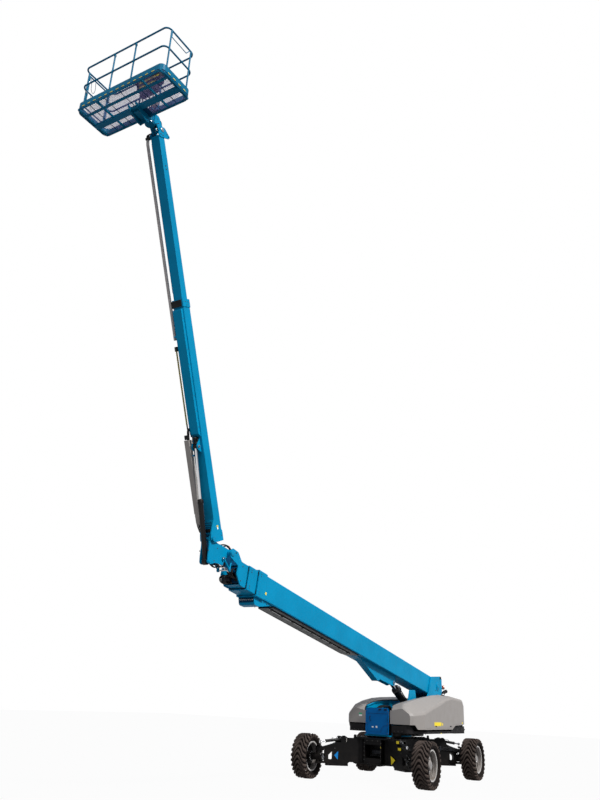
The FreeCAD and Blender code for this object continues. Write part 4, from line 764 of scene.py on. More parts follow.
def cowl_fittings(side):
    """Latches, air slots and blank labels on one cowl."""
    hand = "left" if side > 0 else "right"
    piece = Piece("cowl_fittings_" + hand, "cowl_" + hand, slot="cowl_grey")
    outer, nose = 1.215, 1.045
    face = side * outer
    for x in (-0.35, -1.55):
        piece.box(mid(x, 0.055), (face, face + side * 0.008), (1.445, 1.475), PLASTIC, 0.003)
        piece.box(mid(x, 0.035), (face + side * 0.006, face + side * 0.014), (1.452, 1.468), PLASTIC, 0.003)
    marks = [(-0.49, 1.52, 0.56, 0.1, YELLOW), (-0.86, 1.515, 0.09, 0.065, YELLOW),
             (-2.6, 1.555, 0.07, 0.045, YELLOW)]
    if side < 0:
        marks = [(-0.55, 1.52, 0.26, 0.08, YELLOW), (-1.9, 1.6, 0.12, 0.12, YELLOW),
                 (-2.3, 1.6, 0.1, 0.14, WHITE)]
        # cooling slots of the engine's side
        for z in row(1.56, 0.042, 9):
            outline = ((-0.95, z), (-1.75, z), (-1.75, z + 0.022), (-0.95, z + 0.022))
            piece.plate(outline, (-outer - 0.004, -outer + 0.01), PLASTIC, 0.002)
        for z in (1.535, 1.938):
            piece.box((-1.8, -0.9), (-outer - 0.006, -outer + 0.004), (z, z + 0.015), COWL, 0.002)
        piece.label(X, nose + 0.0006, (-0.55, 1.72), (0.1, 0.04), GREEN)
        piece.label(X, nose + 0.0006, (-0.55, 1.6725), (0.1, 0.045), WHITE)
    for x, z, wide, high, finish in marks:
        piece.label(Y * side, face + side * 0.0004, (x, z), (wide, high), finish)
    # lift handle in the skirt
    piece.tube([(nose - 0.02, side * y, 1.478) for y in (0.44, 0.88)], 0.007, PLASTIC, 8)
    piece.finish()


def tray_fittings():
    """Clips, bolts and blank labels along the side trays."""
    piece = Piece("tray_fittings", "turret", slot="tray_black")
    for side in SIDES:
        for x in (-1.3, -0.9, -0.5, -0.1, 0.25):
            piece.box(mid(x, 0.09), (side * 1.1855, side * 1.19), (1.283, 1.3), PLASTIC, 0.002)
        piece.side_bolts(side, 1.185, [(x, 1.313) for x in row(-1.75, 0.65, 4)], 0.018)
        piece.label(Y * side, side * 1.1853, (-0.81, 1.271), (0.1, 0.018))
        piece.bolts([(1.04, side * y, 1.3) for y in (0.5, 0.62, 0.74)], X, 0.018)
    piece.finish()


def beacon():
    """Lens ribs, base ring and bracket of the amber beacon."""
    piece = Piece("beacon_lens", "turret", slot="beacon_orange")
    x, y, z = foot = (-3.44, 0.3, 2.56)
    ribs = [point for h in row(0.094, -0.012, 6) for point in ((0.0435, h), (0.0405, h - 0.006))]
    piece.plug([(0, 0.11), (0.03, 0.108), (0.039, 0.1), *ribs, (0.0435, 0.026)], AMBER, foot, Z, 32)
    piece.plug([(0.052, 0), (0.052, 0.016), (0.046, 0.027)], PLASTIC, foot, Z, 32)
    piece.box((x, x + 0.055), (y - 0.015, y), (z - 0.015, z), PLASTIC, 0.002)
    piece.box((x - 0.03, x + 0.04), mid(y, 0.03), (z - 0.012, z), PLASTIC, 0.002)
    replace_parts(piece.finish(), "warning_beacon")


# ---- boom ----------------------------------------------------------------------------
BASE_HALF, BASE_LOW, BASE_TOP = 0.25, -0.353, 0.207
HEAD = 11.0


def head_pads(piece, x, half, low, high):
    """Wear pads with their screws round the mouth of one boom section."""
    length = (x - 0.06, x + 0.01)
    for side, face in ((1, (high - 0.014, high + 0.003)), (-1, (low - 0.003, low + 0.014))):
        for z in (low + 0.07, high - 0.07):
            piece.box(length, (side * (half - 0.014), side * (half + 0.003)), mid(z, 0.05), PLASTIC, 0.003)
        heights = (low + 0.05, low + 0.1, high - 0.05, high - 0.1)
        piece.side_bolts(side, half + 0.024, [(x - 0.09, z) for z in heights], 0.018)
        for y in (-0.6, 0.6):
            piece.box(length, mid(half * y, 0.05), face, PLASTIC, 0.003)


def base_fittings():
    """Pads, hose box mouth, tail lines, labels and pipe clips on the boom's base section."""
    piece = Piece("boom_base_fittings", "boom_base", BOOM)
    head_pads(piece, HEAD, BASE_HALF, BASE_LOW, BASE_TOP)
    piece.label(Y, BASE_HALF + 0.0006, (10.605, -0.195), (0.06, 0.06))
    piece.label(Y, BASE_HALF + 0.0006, (10.6525, -0.195), (0.025, 0.06), GREEN)
    # hose box mouth: bright couplings on a plate in the darker blue, painted shade where it faces down
    piece.box((10.935, 10.945), (-0.19, 0.19), (-0.5, -0.4), SHADED_BLUE, 0.002)
    for y in row(-0.165, 0.055, 7):
        piece.port((0.015, 0, 0.022), (0.011, 0.026, 0.05), (10.945, y, -0.435), X, 10)
    low = BASE_LOW - 0.04
    for side in SIDES:
        out = Y * side
        piece.side_bolts(side, 0.21, [(x, -0.4) for x in row(10.3, 0.15, 4)], 0.018)
        # seam weld along the section's corner, and the pivot's bolts
        corner = (side * (BASE_HALF - 0.004), BASE_LOW + 0.004)
        piece.weld((0.3, *corner), (10.6, *corner), 0.004, BLUE)
        piece.bolt_ring(out * 0.2575, out, 0.088, 8, 0.02, BLUE)
        # bolted access cover by the tail
        piece.box((0.42, 0.66), (side * BASE_HALF, side * (BASE_HALF + 0.004)), (-0.12, 0.06), BLUE, 0.002)
        cover = [(x, z) for x in (0.44, 0.64) for z in (-0.1, 0.04)]
        piece.side_bolts(side, BASE_HALF + 0.004, cover, 0.014)
        # tray under the section: its side lips
        piece.box((5.95, 10.16), (side * 0.204, side * 0.212), (low - 0.004, BASE_LOW - 0.001), CHARCOAL,
                  0.002)
        piece.side_bolts(side, 0.212, [(x, low + 0.018) for x in row(6.05, 0.4, 11)], 0.014)
        # pin keepers and lines at the lift cylinder's eye
        piece.disc(0.046, 0.008, STEEL, (3.08, side * 0.118, -0.53), out)
        piece.side_bolts(side, 0.126, [(3.08, -0.53)], 0.024)
        piece.weld((2.96, side * 0.101, -0.358), (5.5, side * 0.101, -0.358), finish=BLUE)
    for z in (0.05, -0.08):
        piece.box((-0.174, -0.166), (-0.16, 0.16), mid(z, 0.04), PLASTIC)
    for y in row(-0.09, 0.06, 4):
        tail = ((-0.17, 0.05), (-0.24, 0.03), (-0.26, -0.06), (-0.22, -0.14), (-0.16, -0.16))
        piece.hose(run(y, *tail), 0.014)
    # long pipes in the tray, and their clips
    piece.tube(run(0.085, (5.98, low - 0.012), (10.12, low - 0.012)), 0.011, PLASTIC)
    piece.tube(run(0.055, (5.98, low - 0.01), (10.12, low - 0.01)), 0.008, STEEL)
    for x in row(6.1, 0.49, 9):
        piece.box(mid(x, 0.02), (0.035, 0.105), (low - 0.026, low), PLASTIC, 0.003)
    piece.finish()


def section_fittings():
    """Pads and screws at the middle section's mouth, and lines, pin heads and plates in painted shade at the
    inner head.
    """
    middle = Piece("boom_mid_fittings", "boom_mid", BOOM)
    head_pads(middle, HEAD + 0.36, 0.224, -0.327, 0.181)
    middle.finish()
    head = Piece("boom_head_fittings", "boom_inner", BOOM)
    outer = 0.222
    for side in SIDES:
        out = Y * side
        pin = Vector((12.04, side * (outer + 0.004), 0.25))
        head.plug([(0.07, 0), (0.07, 0.008), (0.055, 0.014)], BLUE, pin, out, 32)
        head.bolt_ring(pin + out * 0.006, out, 0.05, 6, 0.016)
        head.side_bolts(side, outer, [(11.92, 0.3)], 0.026)
        head.side_bolts(side, outer, ((11.6, 0.1), (11.6, -0.22)), 0.022)
        head.weld((11.58, side * outer, -0.318), (11.42, side * outer, -0.318), 0.004, BLUE)
    # a plate in the darker blue that closes the mouth, painted shade, and the carrier the hoses leave
    head.box((11.565, 11.58), (-0.17, 0.17), (-0.26, 0.11), SHADED_BLUE, 0.003)
    head.box((11.58, 11.7), (-0.15, -0.03), (-0.24, -0.1), CHARCOAL, 0.01)
    head.box((11.58, 11.64), (0.07, 0.16), (-0.22, 0.04), PLASTIC, 0.006)
    for y in row(-0.145, 0.03, 5):
        head.hose([(11.7, y, -0.13), (11.79, y, -0.15), (11.86, y - 0.01, -0.22), (11.82, y - 0.01, -0.29),
                   (11.7, y, -0.305), (11.585, y, -0.25)], 0.011)
    for y in row(0.085, 0.03, 3):
        head.hose(run(y, (11.64, 0.0), (11.74, 0.01), (11.83, -0.05), (11.84, -0.14), (11.76, -0.19),
                      (11.64, -0.17)), 0.01)
    head.finish()
    # a plate in the darker blue on the far side, filling a see-through gap: painted shade
    shade_plate = Piece("boom_head_shade_plate", "boom_inner")
    shade_plate.plate([(8.12, 4.62), (8.6, 4.62), (8.62, 4.93), (8.14, 4.95)], (-0.194, -0.186), SHADED_BLUE, 0.002)
    shade_plate.bolts([(x, -0.186, z) for x in (8.2, 8.5) for z in (4.7, 4.88)], Y, 0.018)
    shade_plate.finish()


def knuckle_linkage():
    """Crossed link bars, hose loops, pin keepers and coloured rings on the knuckle of boom and jib."""
    piece = Piece("knuckle_fittings", "knuckle")
    for side in SIDES:
        y, out = side * 0.15, Y * side
        for x, z in ((9.095, 4.725), (8.8, 4.77)):
            piece.tube(run(y, (8.865, 4.512), (x, z)), 0.02, BLUE)
        piece.disc(0.034, 0.044, BLUE, (8.865, side * 0.128, 4.512), out, 20)
        piece.side_bolts(side, 0.172, [(8.865, 4.512)], 0.024)
        piece.side_bolts(side, 0.158, [(9.095, 4.725)], 0.026)
        piece.tube([(9.095, side * end, 4.725) for end in (0.1, 0.162)], 0.022, STEEL, 12)
        piece.side_bolts(side, 0.113, ((9.3, 4.9), (9.38, 4.62), (9.6, 4.8)), 0.02)
        piece.disc(0.05, 0.008, BLUE, (9.505, side * 0.164, 5.06), out)
        piece.bolt_ring((9.505, side * 0.168, 5.06), out, 0.032, 4, 0.014)
        piece.disc(0.045, 0.01, BLUE, (9.52, side * 0.113, 4.59), out)
    piece.tube([(8.865, y, 4.512) for y in (-0.15, 0.15)], 0.016, STEEL, 12)
    # plate between the plates, behind the hoses, in the darker blue: painted shade that fills the gap
    piece.plate([(8.95, 4.6), (9.25, 4.56), (9.36, 4.92), (9.02, 4.93)], (-0.012, 0.012), SHADED_BLUE, 0.004)
    # hoses over the pivot with their bright clamp and coloured rings
    over = ((9.25, 4.955), (9.12, 5.01), (8.97, 5.03), (8.84, 5.0), (8.77, 4.93), (8.765, 4.86))
    under = ((9.36, 4.66), (9.25, 4.585), (9.14, 4.545), (9.05, 4.55), (8.98, 4.585), (8.96, 4.66))
    for y in (-0.094, -0.066, 0.066, 0.094):
        piece.hose(run(y, *over), 0.013, False)
        piece.hose(run(y, *under), 0.012, False)
        piece.lathe([(0.012, 0), (0.019, 0), (0.019, 0.03), (0.012, 0.03)], AMBER, (8.885, y, 5.017),
                    (-0.97, 0, -0.25), 16)
    piece.box((8.965, 9.005), (-0.105, 0.105), (4.995, 5.01), STEEL, 0.003)
    piece.finish()


def ram_fittings(name, body, where, length, radius):
    """Gland screws, ports and the feed pipe of a hydraulic cylinder's barrel."""
    piece = Piece(name, body, where, "cylinder_black")
    gland = radius + 0.008
    for turn in range(8):
        piece.bolt((length, *turned(radius - 0.006, 2 * math.pi * turn / 8)), X, 0.014)
    for x in (0.16, length - 0.05):
        piece.box(mid(x, 0.03), (-0.025, 0.025), (radius - 0.01, gland + 0.022), PLASTIC)
    piece.tube(run(0.012, (0.19, gland + 0.012), (0.24, radius + 0.014), (length - 0.13, radius + 0.014),
                   (length - 0.08, gland + 0.012)), 0.009, STEEL)
    for x in (length * 0.35, length * 0.65):
        piece.box(mid(x, 0.012), (-0.006, 0.03), (radius - 0.002, radius + 0.028), PLASTIC, 0.003)
    piece.finish()


def lift_valve():
    """Holding valve, ports and short hoses on the head of the lift cylinder's barrel."""
    piece = Piece("lift_valve", "lift_barrel", LIFT, "rod_chrome")
    piece.box((1.98, 2.16), (-0.065, 0.065), (0.1, 0.185), STEEL, 0.008)
    piece.box((2.17, 2.235), (-0.045, 0.045), (0.108, 0.165), STEEL, 0.006)
    for side in SIDES:
        y = -side * 0.035
        piece.port((0.024, 0, 0.03), (0.015, 0.036, 0.06), (1.98, y, 0.145), -X, 16)
        piece.bolt((2.07, y, 0.185), Z, 0.02)
        piece.hose(fan(y, (1.93, 1, 0.145), (1.84, 1, 0.15), (1.7, 1.2, 0.135), (1.35, 1.2, 0.13),
                       (0.85, 1.2, 0.128), (0.4, 1.1, 0.135)), 0.014)
        piece.box((2.02, 2.12), (side * 0.066, side * 0.084), (0.115, 0.165), BLACK, 0.003)
    piece.finish()


def jib_ram():
    """Jib cylinder's slim barrel with its gland, ports and pipe, and its bright rod."""
    barrel = Piece("jib_ram_barrel", "jib_barrel", JIB_RAM, "cylinder_black")
    barrel.plug([(0.046, 0.055), (0.052, 0.075), (0.052, 1.205), (0.06, 1.212), (0.06, 1.292), (0.054, 1.3),
                 (0.0325, 1.3), (0.0325, 1.25)], RAM_BLACK, ORIGIN, X, 40)
    barrel.lathe([(0.0355, -0.05), (0.07, -0.05), (0.075, -0.044), (0.075, 0.044), (0.07, 0.05),
                  (0.0355, 0.05)], RAM_BLACK, ORIGIN, Y, 36)
    barrel.box((0.13, 0.2), (-0.024, 0.024), (0.045, 0.08), PLASTIC)
    barrel.box((1.215, 1.275), (-0.024, 0.024), (0.052, 0.084), PLASTIC)
    barrel.tube(run(0.01, (0.185, 0.072), (0.23, 0.064), (1.17, 0.064), (1.22, 0.074)), 0.008, STEEL)
    for x in (0.45, 0.85):
        barrel.box(mid(x, 0.012), (-0.008, 0.028), (0.048, 0.076), PLASTIC, 0.003)
    for k in range(8):
        barrel.bolt((1.299, *turned(0.045, 2 * math.pi * k / 8)), X, 0.012)
    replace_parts(barrel.finish(), "jib_cylinder")
    reach = (JIB @ Vector((1.985, 0, 0.03)) - spot("jib_barrel_swing")).length
    rod = Piece("jib_ram_rod", "jib_rod", JIB_RAM, "rod_chrome")
    rod.plug([(0.028, 0.95), (0.031, 0.955), (0.031, reach - 0.03)], CHROME, ORIGIN, X, 32)
    rod.plug([(0.044, -0.045), (0.048, -0.041), (0.048, 0.041), (0.044, 0.045)], RAM_BLACK, X * reach, Y, 32)
    for side in SIDES:
        rod.plug([(0.03, 0.04), (0.03, 0.083), (0.026, 0.087)], STEEL, X * reach, Y * side)
        rod.side_bolts(side, 0.087, [(reach, 0)], 0.018)
    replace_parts(rod.finish(), "jib_rod")


# ---- jib -----------------------------------------------------------------------------
JIB_HALF, JIB_LOW, JIB_TOP = 0.14, 0.109, 0.345


def jib_fittings():
    """Pads, channel bolts, bracket, hose guard, tray lining and labels on the jib's base section."""
    piece = Piece("jib_fittings", "jib", JIB)
    low = JIB_LOW
    for x, y, z, finish, round_by in (
            ((5.055, 5.205), (-0.15, 0.115), (low - 0.026, low - 0.013), PLASTIC, 0.004),  # collar's pads
            ((5.055, 5.205), (-0.16, -0.152), (low - 0.026, low + 0.05), PLASTIC, 0.004),
            ((0.205, 0.385), (-0.108, 0.108), (low - 0.03, low + 0.001), BLUE, 0.005),     # pivot's bracket
            ((0.135, 0.2), (-0.112, 0.112), (low - 0.024, low + 0.001), PLASTIC, 0.003),
            ((0.085, 0.12), (-0.112, 0.112), (low - 0.034, low + 0.001), BLUE, 0.004),
            ((4.1, 4.2), (-0.186, -0.112), (0.01, 0.06), PLASTIC, 0.006),               # guard's clamp
            ((4.4, 4.44), (-0.175, -0.11), (0.045, 0.058), BLUE, 0.003),
            ((2.16, 2.26), (-0.215, -0.1), (-0.045, -0.012), PLASTIC, 0.006),
            ((2.06, 2.19), (-0.052, 0.052), (0.04, low), PLASTIC, 0.006),                  # hose block
            ((1.785, 1.825), (-0.13, -0.07), (0.0, low), BLUE, 0.003),                    # tray's tie
            ((0.33, 0.565), (-0.195, -0.1), (-0.062, -0.052), GREY_TRAY, 0.003),          # tray's tail
            ((0.33, 0.565), (-0.195, -0.189), (-0.062, 0.0), GREY_TRAY, 0.002),
            ((0.33, 0.565), (-0.106, -0.1), (-0.062, 0.0), GREY_TRAY, 0.002),
            ((0.557, 0.571), (-0.222, -0.093), (-0.062, -0.045), GREY_TRAY, 0.002),         # rolled edges
            ((2.136, 2.15), (-0.222, -0.093), (-0.062, -0.045), GREY_TRAY, 0.002)):
        piece.box(x, y, z, finish, round_by)
    # strips under the pivot's bracket, in the darker blue: painted shade
    for x in row(0.225, 0.05, 3):
        piece.box((x, x + 0.015), (-0.09, 0.09), (low - 0.032, low - 0.026), SHADED_BLUE, 0.002)
    for side in SIDES:
        heights = (low + 0.03, low + 0.08, JIB_TOP - 0.03, JIB_TOP - 0.08)
        piece.side_bolts(side, 0.152, [(5.16, z) for z in heights], 0.014)
        piece.side_bolts(side, 0.152, [(5.09, (low + JIB_TOP) / 2)], 0.018)
        piece.side_bolts(side, 0.115, [(x, low - 0.035) for x in row(2.4, 0.34, 8)], 0.012)
        corner = (side * (JIB_HALF - 0.003), low + 0.003)
        piece.weld((0.46, *corner), (1.8, *corner), 0.003, BLUE)
        piece.side_bolts(side, 0.15, [(0.02, 0.3)], 0.018)
        piece.disc(0.03, 0.008, STEEL, (1.985, side * 0.088, 0.03), Y * side, 20)
        piece.side_bolts(side, 0.096, [(1.985, 0.03)], 0.018)
    piece.label(Y, 0.1506, (0.1925, 0.195), (0.045, 0.05), WHITE)
    piece.label(Y, 0.1506, (0.2355, 0.195), (0.039, 0.05))
    # sprung hose guard: a dark hose with a bright coil, from the tray's end to its clamp
    guard = [(2.36, -0.15, 0.036), (2.55, -0.158, 0.036), (4.12, -0.158, 0.036)]
    piece.tube(smooth(guard, 5), 0.016, HOSE)
    for x in row(2.5, 0.039, 42):
        piece.band(0.0145, 0.0225, (0.009, 0.005), COIL, (x, -0.158, 0.036), X, 12)
    piece.bolt((4.15, -0.15, 0.01), -Z, 0.016)
    # hoses turning out of the tray's top into the guard
    for y in row(-0.108, -0.014, 4):
        piece.hose([(2.12, y, -0.02), (2.24, y, -0.01), (2.35, y, 0.015), (2.4, y + 0.01, 0.065),
                    (2.33, y + 0.015, 0.098), (2.22, y + 0.02, 0.1)], 0.011)
    for y in row(-0.035, 0.035, 3):
        piece.hose(run(y, (2.08, 0.045), (2.05, 0.015), (2.1, -0.015), (2.17, 0.01), (2.18, 0.045)), 0.009)
    # hoses lying in the tray
    for y in row(-0.115, -0.03, 4):
        piece.tube(run(y, (0.5, -0.04), (2.12, -0.04)), 0.011, HOSE, 8)
        piece.hose([(0.52, y, -0.04), (0.4, y, -0.045), (0.28, y + 0.01, -0.035), (0.16, y + 0.02, 0.0),
                    (0.1, y + 0.03, 0.05)], 0.011)
    piece.side_bolts(-1, 0.22, [(x, -0.01) for x in row(0.7, 0.17, 9)], 0.012)
    piece.finish()


def fly_fittings():
    """Grey conduit beside the fly section, its clamp and hoses, and the pins at the jib's head."""
    piece = Piece("jib_fly_fittings", "jib_fly", JIB)
    piece.tube([(4.36, -0.199, 0.1), (8.8, -0.199, 0.1), (8.9, -0.188, 0.108)], 0.034, CONDUIT, 14)
    for x in row(5.3, 0.038, 90):
        piece.band(0.0335, 0.0365, (0.01, 0.006), CONDUIT, (x, -0.199, 0.1), X, 14)
    piece.box((8.9, 8.955), (-0.225, -0.12), (0.07, 0.145), PLASTIC, 0.008)
    for y in row(-0.205, 0.022, 4):
        piece.hose([(8.94, y, 0.11), (9.0, y, 0.115), (9.05, y + 0.02, 0.16), (9.06, y + 0.05, 0.22),
                    (9.02, y + 0.07, 0.27)], 0.009)
    piece.box((8.9, 8.935), (-0.12, 0.12), (0.118, 0.133), BLUE, 0.003)
    for side in SIDES:
        piece.side_bolts(side, 0.118, ((8.17, 0.225), (8.25, 0.225)), 0.022)
        piece.weld((5.4, side * 0.1165, 0.1325), (8.8, side * 0.1165, 0.1325), 0.003, BLUE)
    piece.finish()
    head = Piece("jib_head_fittings", "jib_fly")
    x, _, z = spot("platform_level")
    for side in SIDES:
        head.plug([(0.046, 0), (0.046, 0.007), (0.034, 0.012)], STEEL, (x, side * 0.138, z), Y * side)
        head.side_bolts(side, 0.134, ((x - 0.16, z), (x + 0.03, z - 0.13), (x - 0.04, z - 0.12)), 0.022)
        head.box((x - 0.235, x - 0.205), (side * 0.128, side * 0.15), (z - 0.05, z - 0.01), BLUE)
    head.finish()


# ---- platform ------------------------------------------------------------------------
DECK_Z = 13.710492
NEAR, FAR = 12.985129, 13.895129
SIDE = 1.22
POSTS = (-0.29, 0.325)


def inside_corner(x, y, inset):
    """Whether a point is on the platform's floor, inside its rounded corners."""
    dx = max(NEAR + 0.12 - x, x - FAR + 0.12, 0.0)
    dy = max(abs(y) - SIDE + 0.12, 0.0)
    return math.hypot(dx, dy) <= 0.12 - inset if dx and dy else max(dx, dy) <= 0.12 - inset


def round_corners(radius):
    """Seven turns at each of the floor's four corners: the corner's centre, then the cosine and sine."""
    for cx, cy, start in ((FAR - radius, SIDE - radius, 0), (NEAR + radius, SIDE - radius, 90),
                          (NEAR + radius, radius - SIDE, 180), (FAR - radius, radius - SIDE, 270)):
        for degrees in row(start, 15, 7):
            yield (cx, cy, *turned(1, math.radians(degrees)))


def floor_mesh():
    """Expanded-metal floor: crossed strands inside a flat frame."""
    piece = Piece("floor_mesh", "platform", slot="floor_mesh")
    slope = math.tan(math.radians(24))
    for lean in SIDES:
        start = -SIDE - 0.5
        while start < SIDE + 0.5:
            # a strand runs across the depth while it drifts along the width, kept to the floor's outline
            spots = [((NEAR + FAR) / 2 + t * slope, start + lean * t) for t in row(-1.6, 0.02, 161)]
            held = [Vector((x, y, DECK_Z + 0.004)) for x, y in spots if inside_corner(x, y, 0.009)]
            if len(held) > 1:
                a, b = held[0], held[-1]
                aside = (b - a).normalized().cross(Z) * 0.0022
                lift = Z * 0.0026
                piece.loft([[p + aside + lift, p - aside + lift, p - aside - lift, p + aside - lift]
                            for p in (a, b)], MESH)
            start += 0.054
    section = ((0.113, 0), (0.098, 0), (0.098, 0.008), (0.113, 0.008))
    rings = [[(cx + r * c, cy + r * s, DECK_Z + h) for r, h in section]
             for cx, cy, c, s in round_corners(0.12)]
    piece.loft(rings + rings[:1], MESH, False)
    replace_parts(piece.finish(), "platform_floor")


def platform_fittings():
    """Stripe round the toe board, bumper loop, straps, bolts and labels on the platform."""
    piece = Piece("platform_fittings", "platform")
    stripe = DECK_Z + 0.021
    for x, face in ((FAR, 1), (NEAR, -1)):
        for y in row(-1.0125, 0.165, 13):
            piece.label(X * face, x + face * 0.0006, (y, stripe), (0.075, 0.018))
        # socket plates where the posts stand on the toe board
        for y in POSTS:
            depth = (x - face * 0.012, x - face * 0.056)
            piece.box(depth, mid(y, 0.035), (DECK_Z + 0.03, DECK_Z + 0.15), BLUE)
            piece.bolts([(x, y, DECK_Z + h) for h in (0.055, 0.125)], X * face, 0.018)
    for side in SIDES:
        for x in row(NEAR + 0.1975, 0.165, 4):
            piece.label(Y * side, side * (SIDE + 0.0006), (x, stripe), (0.075, 0.018))
    # outer bumper loop below the floor, on drop brackets
    z = DECK_Z - 0.06
    loop = [(cx + 0.118 * c, cy + 0.118 * s, z) for cx, cy, c, s in round_corners(0.13)]
    # the loop and its brackets in the blue darkened part way: partly painted shade
    piece.tube(loop + loop[:1], 0.009, PART_SHADED_RAIL_BLUE)
    for y in (-1.16, -0.634, 0.634, 1.16):
        for x in (NEAR + 0.03, FAR - 0.03):
            piece.box(mid(x, 0.02), mid(y, 0.006), (z - 0.004, DECK_Z), PART_SHADED_RAIL_BLUE, 0.002)
    # thin cross rods that stiffen the mesh, in the darker blue: painted shade under the floor
    for y in row(-0.86, 0.43, 5):
        piece.tube(run(y, (NEAR + 0.02, DECK_Z - 0.01), (FAR - 0.02, DECK_Z - 0.01)), 0.008, SHADED_BLUE, 8)
    # mid-rail clamps, and harness rings on the posts
    # the clamps in the blue darkened part way: partly painted shade
    for x, y, h in [(x, y, h) for x in (NEAR + 0.019, FAR - 0.019) for y in POSTS for h in (0.652, 1.1)]:
        piece.band(0.019, 0.026, (0.018, 0.014), PART_SHADED_RAIL_BLUE, (x, y, DECK_Z + h))
    for x in (NEAR + 0.14, FAR - 0.14):
        ring = [turned(0.022, math.pi * k / 8) for k in range(17)]
        piece.tube([(x + c, -1.175, DECK_Z + 0.6 + s) for c, s in ring], 0.004, STEEL, 8)
        piece.box(mid(x, 0.012), (-1.184, -1.166), (DECK_Z + 0.622, DECK_Z + 0.64), STEEL, 0.003)
    # a plate under the floor in the darker blue: painted shade
    piece.box((NEAR + 0.05, NEAR + 0.3), (-0.235, 0.235), (DECK_Z - 0.052, DECK_Z - 0.044), SHADED_BLUE, 0.003)
    piece.finish()
    strap = Piece("gate_straps", "gate")
    long = ((13.7, 14.74), (13.672, 14.6), (13.66, 14.47), (13.62, 14.41), (13.575, 14.43), (13.55, 14.55),
            (13.57, 14.74))
    short = ((13.64, 14.3), (13.6, 14.21), (13.54, 14.2), (13.5, 14.27), (13.49, 14.31))
    # the straps in the darker blue: painted shade
    for spots in (long, short):
        strap.tube(smooth(run(-1.172, *spots), 6), 0.0055, SHADED_BLUE, 8)
    strap.box((13.135, 13.175), (-1.19, -1.166), (14.28, 14.34), PLASTIC)
    for z in (14.0, 14.62):
        strap.band(0.016, 0.022, (0.03, 0.03), STEEL, (13.719, -1.201, z))
    strap.finish()


def control_station():
    """Operator's box with its hood, levers, switches, blank strips and cables, and the socket below it."""
    piece = Piece("control_station", "platform", slot="tray_black")
    near, top = NEAR + 0.055, DECK_Z + 1.045
    back = ((0, -0.36), (0, -0.05), (0.05, -0.005), (0.2, -0.07), (0.205, -0.14), (0.115, -0.36))
    piece.plate([(near + x, top + z) for x, z in back], (-0.245, 0.445), PLASTIC, 0.018)
    piece.box((near + 0.005, near + 0.13), (-0.14, 0.34), (top - 0.55, top - 0.35), PLASTIC, 0.02)
    # levers and switches on the sloping face
    ahead = Vector((0.15, 0, -0.065)).normalized()
    normal = Vector((-ahead.z, 0, ahead.x))
    lever = [(0.026, 0), (0.022, 0.012), (0.008, 0.018), (0.007, 0.05), (0.014, 0.055), (0.016, 0.068)]
    for y, finish in ((-0.17, HOSE), (-0.05, STEEL), (0.1, RED), (0.25, STEEL), (0.37, HOSE)):
        foot = Vector((near + 0.12, y, top - 0.0355)) + normal * 0.001
        if finish is STEEL:
            for x in row(-0.03, 0.03, 3):
                piece.port((0.011, 0, 0.006), (0.004, 0.008, 0.022), foot + ahead * x, normal, 10)
        else:
            piece.lathe([(0, 0), *lever, (0, 0.074)], finish, foot - normal * 0.012, normal, 16)
    # blank strips that face out and down
    slope = Vector((0.09, 0, 0.22)).normalized()
    out = Vector((slope.z, 0, -slope.x))
    wide, tall = Y * 0.07, slope * 0.034
    for start, up, count in ((-0.18, 0.045, 6), (-0.16, 0.135, 7)):
        for y in row(start, 0.085, count):
            a = Vector((near + 0.115, y, top - 0.36)) + slope * up + out * 0.0006
            piece.sticker([a, a + wide, a + wide + tall, a + tall], out, YELLOW)
    for y in (-0.1, 0.02, 0.14, 0.26):
        piece.hose([(near + x, y * far + shift, top - drop) for x, far, shift, drop in (
            (0.07, 1, 0, 0.545), (0.065, 0.9, 0, 0.62), (0.05, 0.7, 0.03, 0.76), (0.02, 0.5, 0.05, 0.88),
            (0.015, 0.3, 0.06, 0.98))], 0.011)
    for y in (-0.12, 0.32):
        for z, high in ((top - 0.1, 0.05), (top - 0.5, 0.04)):
            piece.box((near - 0.03, near + 0.01), mid(y, 0.025), (z, z + high), BLUE)
    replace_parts(piece.finish(), "control_box")
    socket = Piece("platform_socket", "platform", slot="tray_grey")
    socket.plug([(0.075, 0), (0.088, 0.012), (0.088, 0.045), (0.07, 0.06), (0.03, 0.064)], TAN,
                (NEAR + 0.035, 0.28, 13.88), X, 32)
    socket.bolt_ring((NEAR + 0.083, 0.24, 13.985), X, 0.066, 6, 0.012)
    # a block in the darker blue behind the socket: painted shade
    socket.box((NEAR + 0.01, NEAR + 0.04), (0.2, 0.28), (13.86, 13.93), SHADED_BLUE)
    socket.finish()


def leveller_fittings():
    """Clamp rings, bolts, valve block and hoses on the rotator and its arms."""
    piece = Piece("rotator_fittings", "leveller")
    x = spot("platform_rotate").x
    pivot = spot("platform_level")
    for z in (13.63, 13.99):
        piece.band(0.085, 0.093, (0.015, 0.012), STEEL, (x, 0, z), Z, 40)
    piece.bolt_ring((x, 0, 14.0205), Z, 0.06, 8, 0.018)
    piece.box((x - 0.245, x - 0.115), (-0.055, 0.055), (13.7, 13.8), CHARCOAL, 0.006)
    for y in row(-0.036, 0.024, 4):
        piece.hose(fan(y, (x - 0.19, 1, 13.8), (x - 0.2, 1, 13.86), (x - 0.26, 1.3, 13.88),
                       (x - 0.3, 1.5, 13.82), (x - 0.29, 1.5, 13.72), (x - 0.26, 1.5, 13.66)), 0.008)
    arm = [(pivot.x + dx, pivot.z + dz) for dx, dz in ((0.06, 0.02), (0.12, 0.1), (0.16, 0.19), (0.16, 0.06))]
    for side in SIDES:
        piece.side_bolts(side, 0.106, arm, 0.02)
    piece.finish()


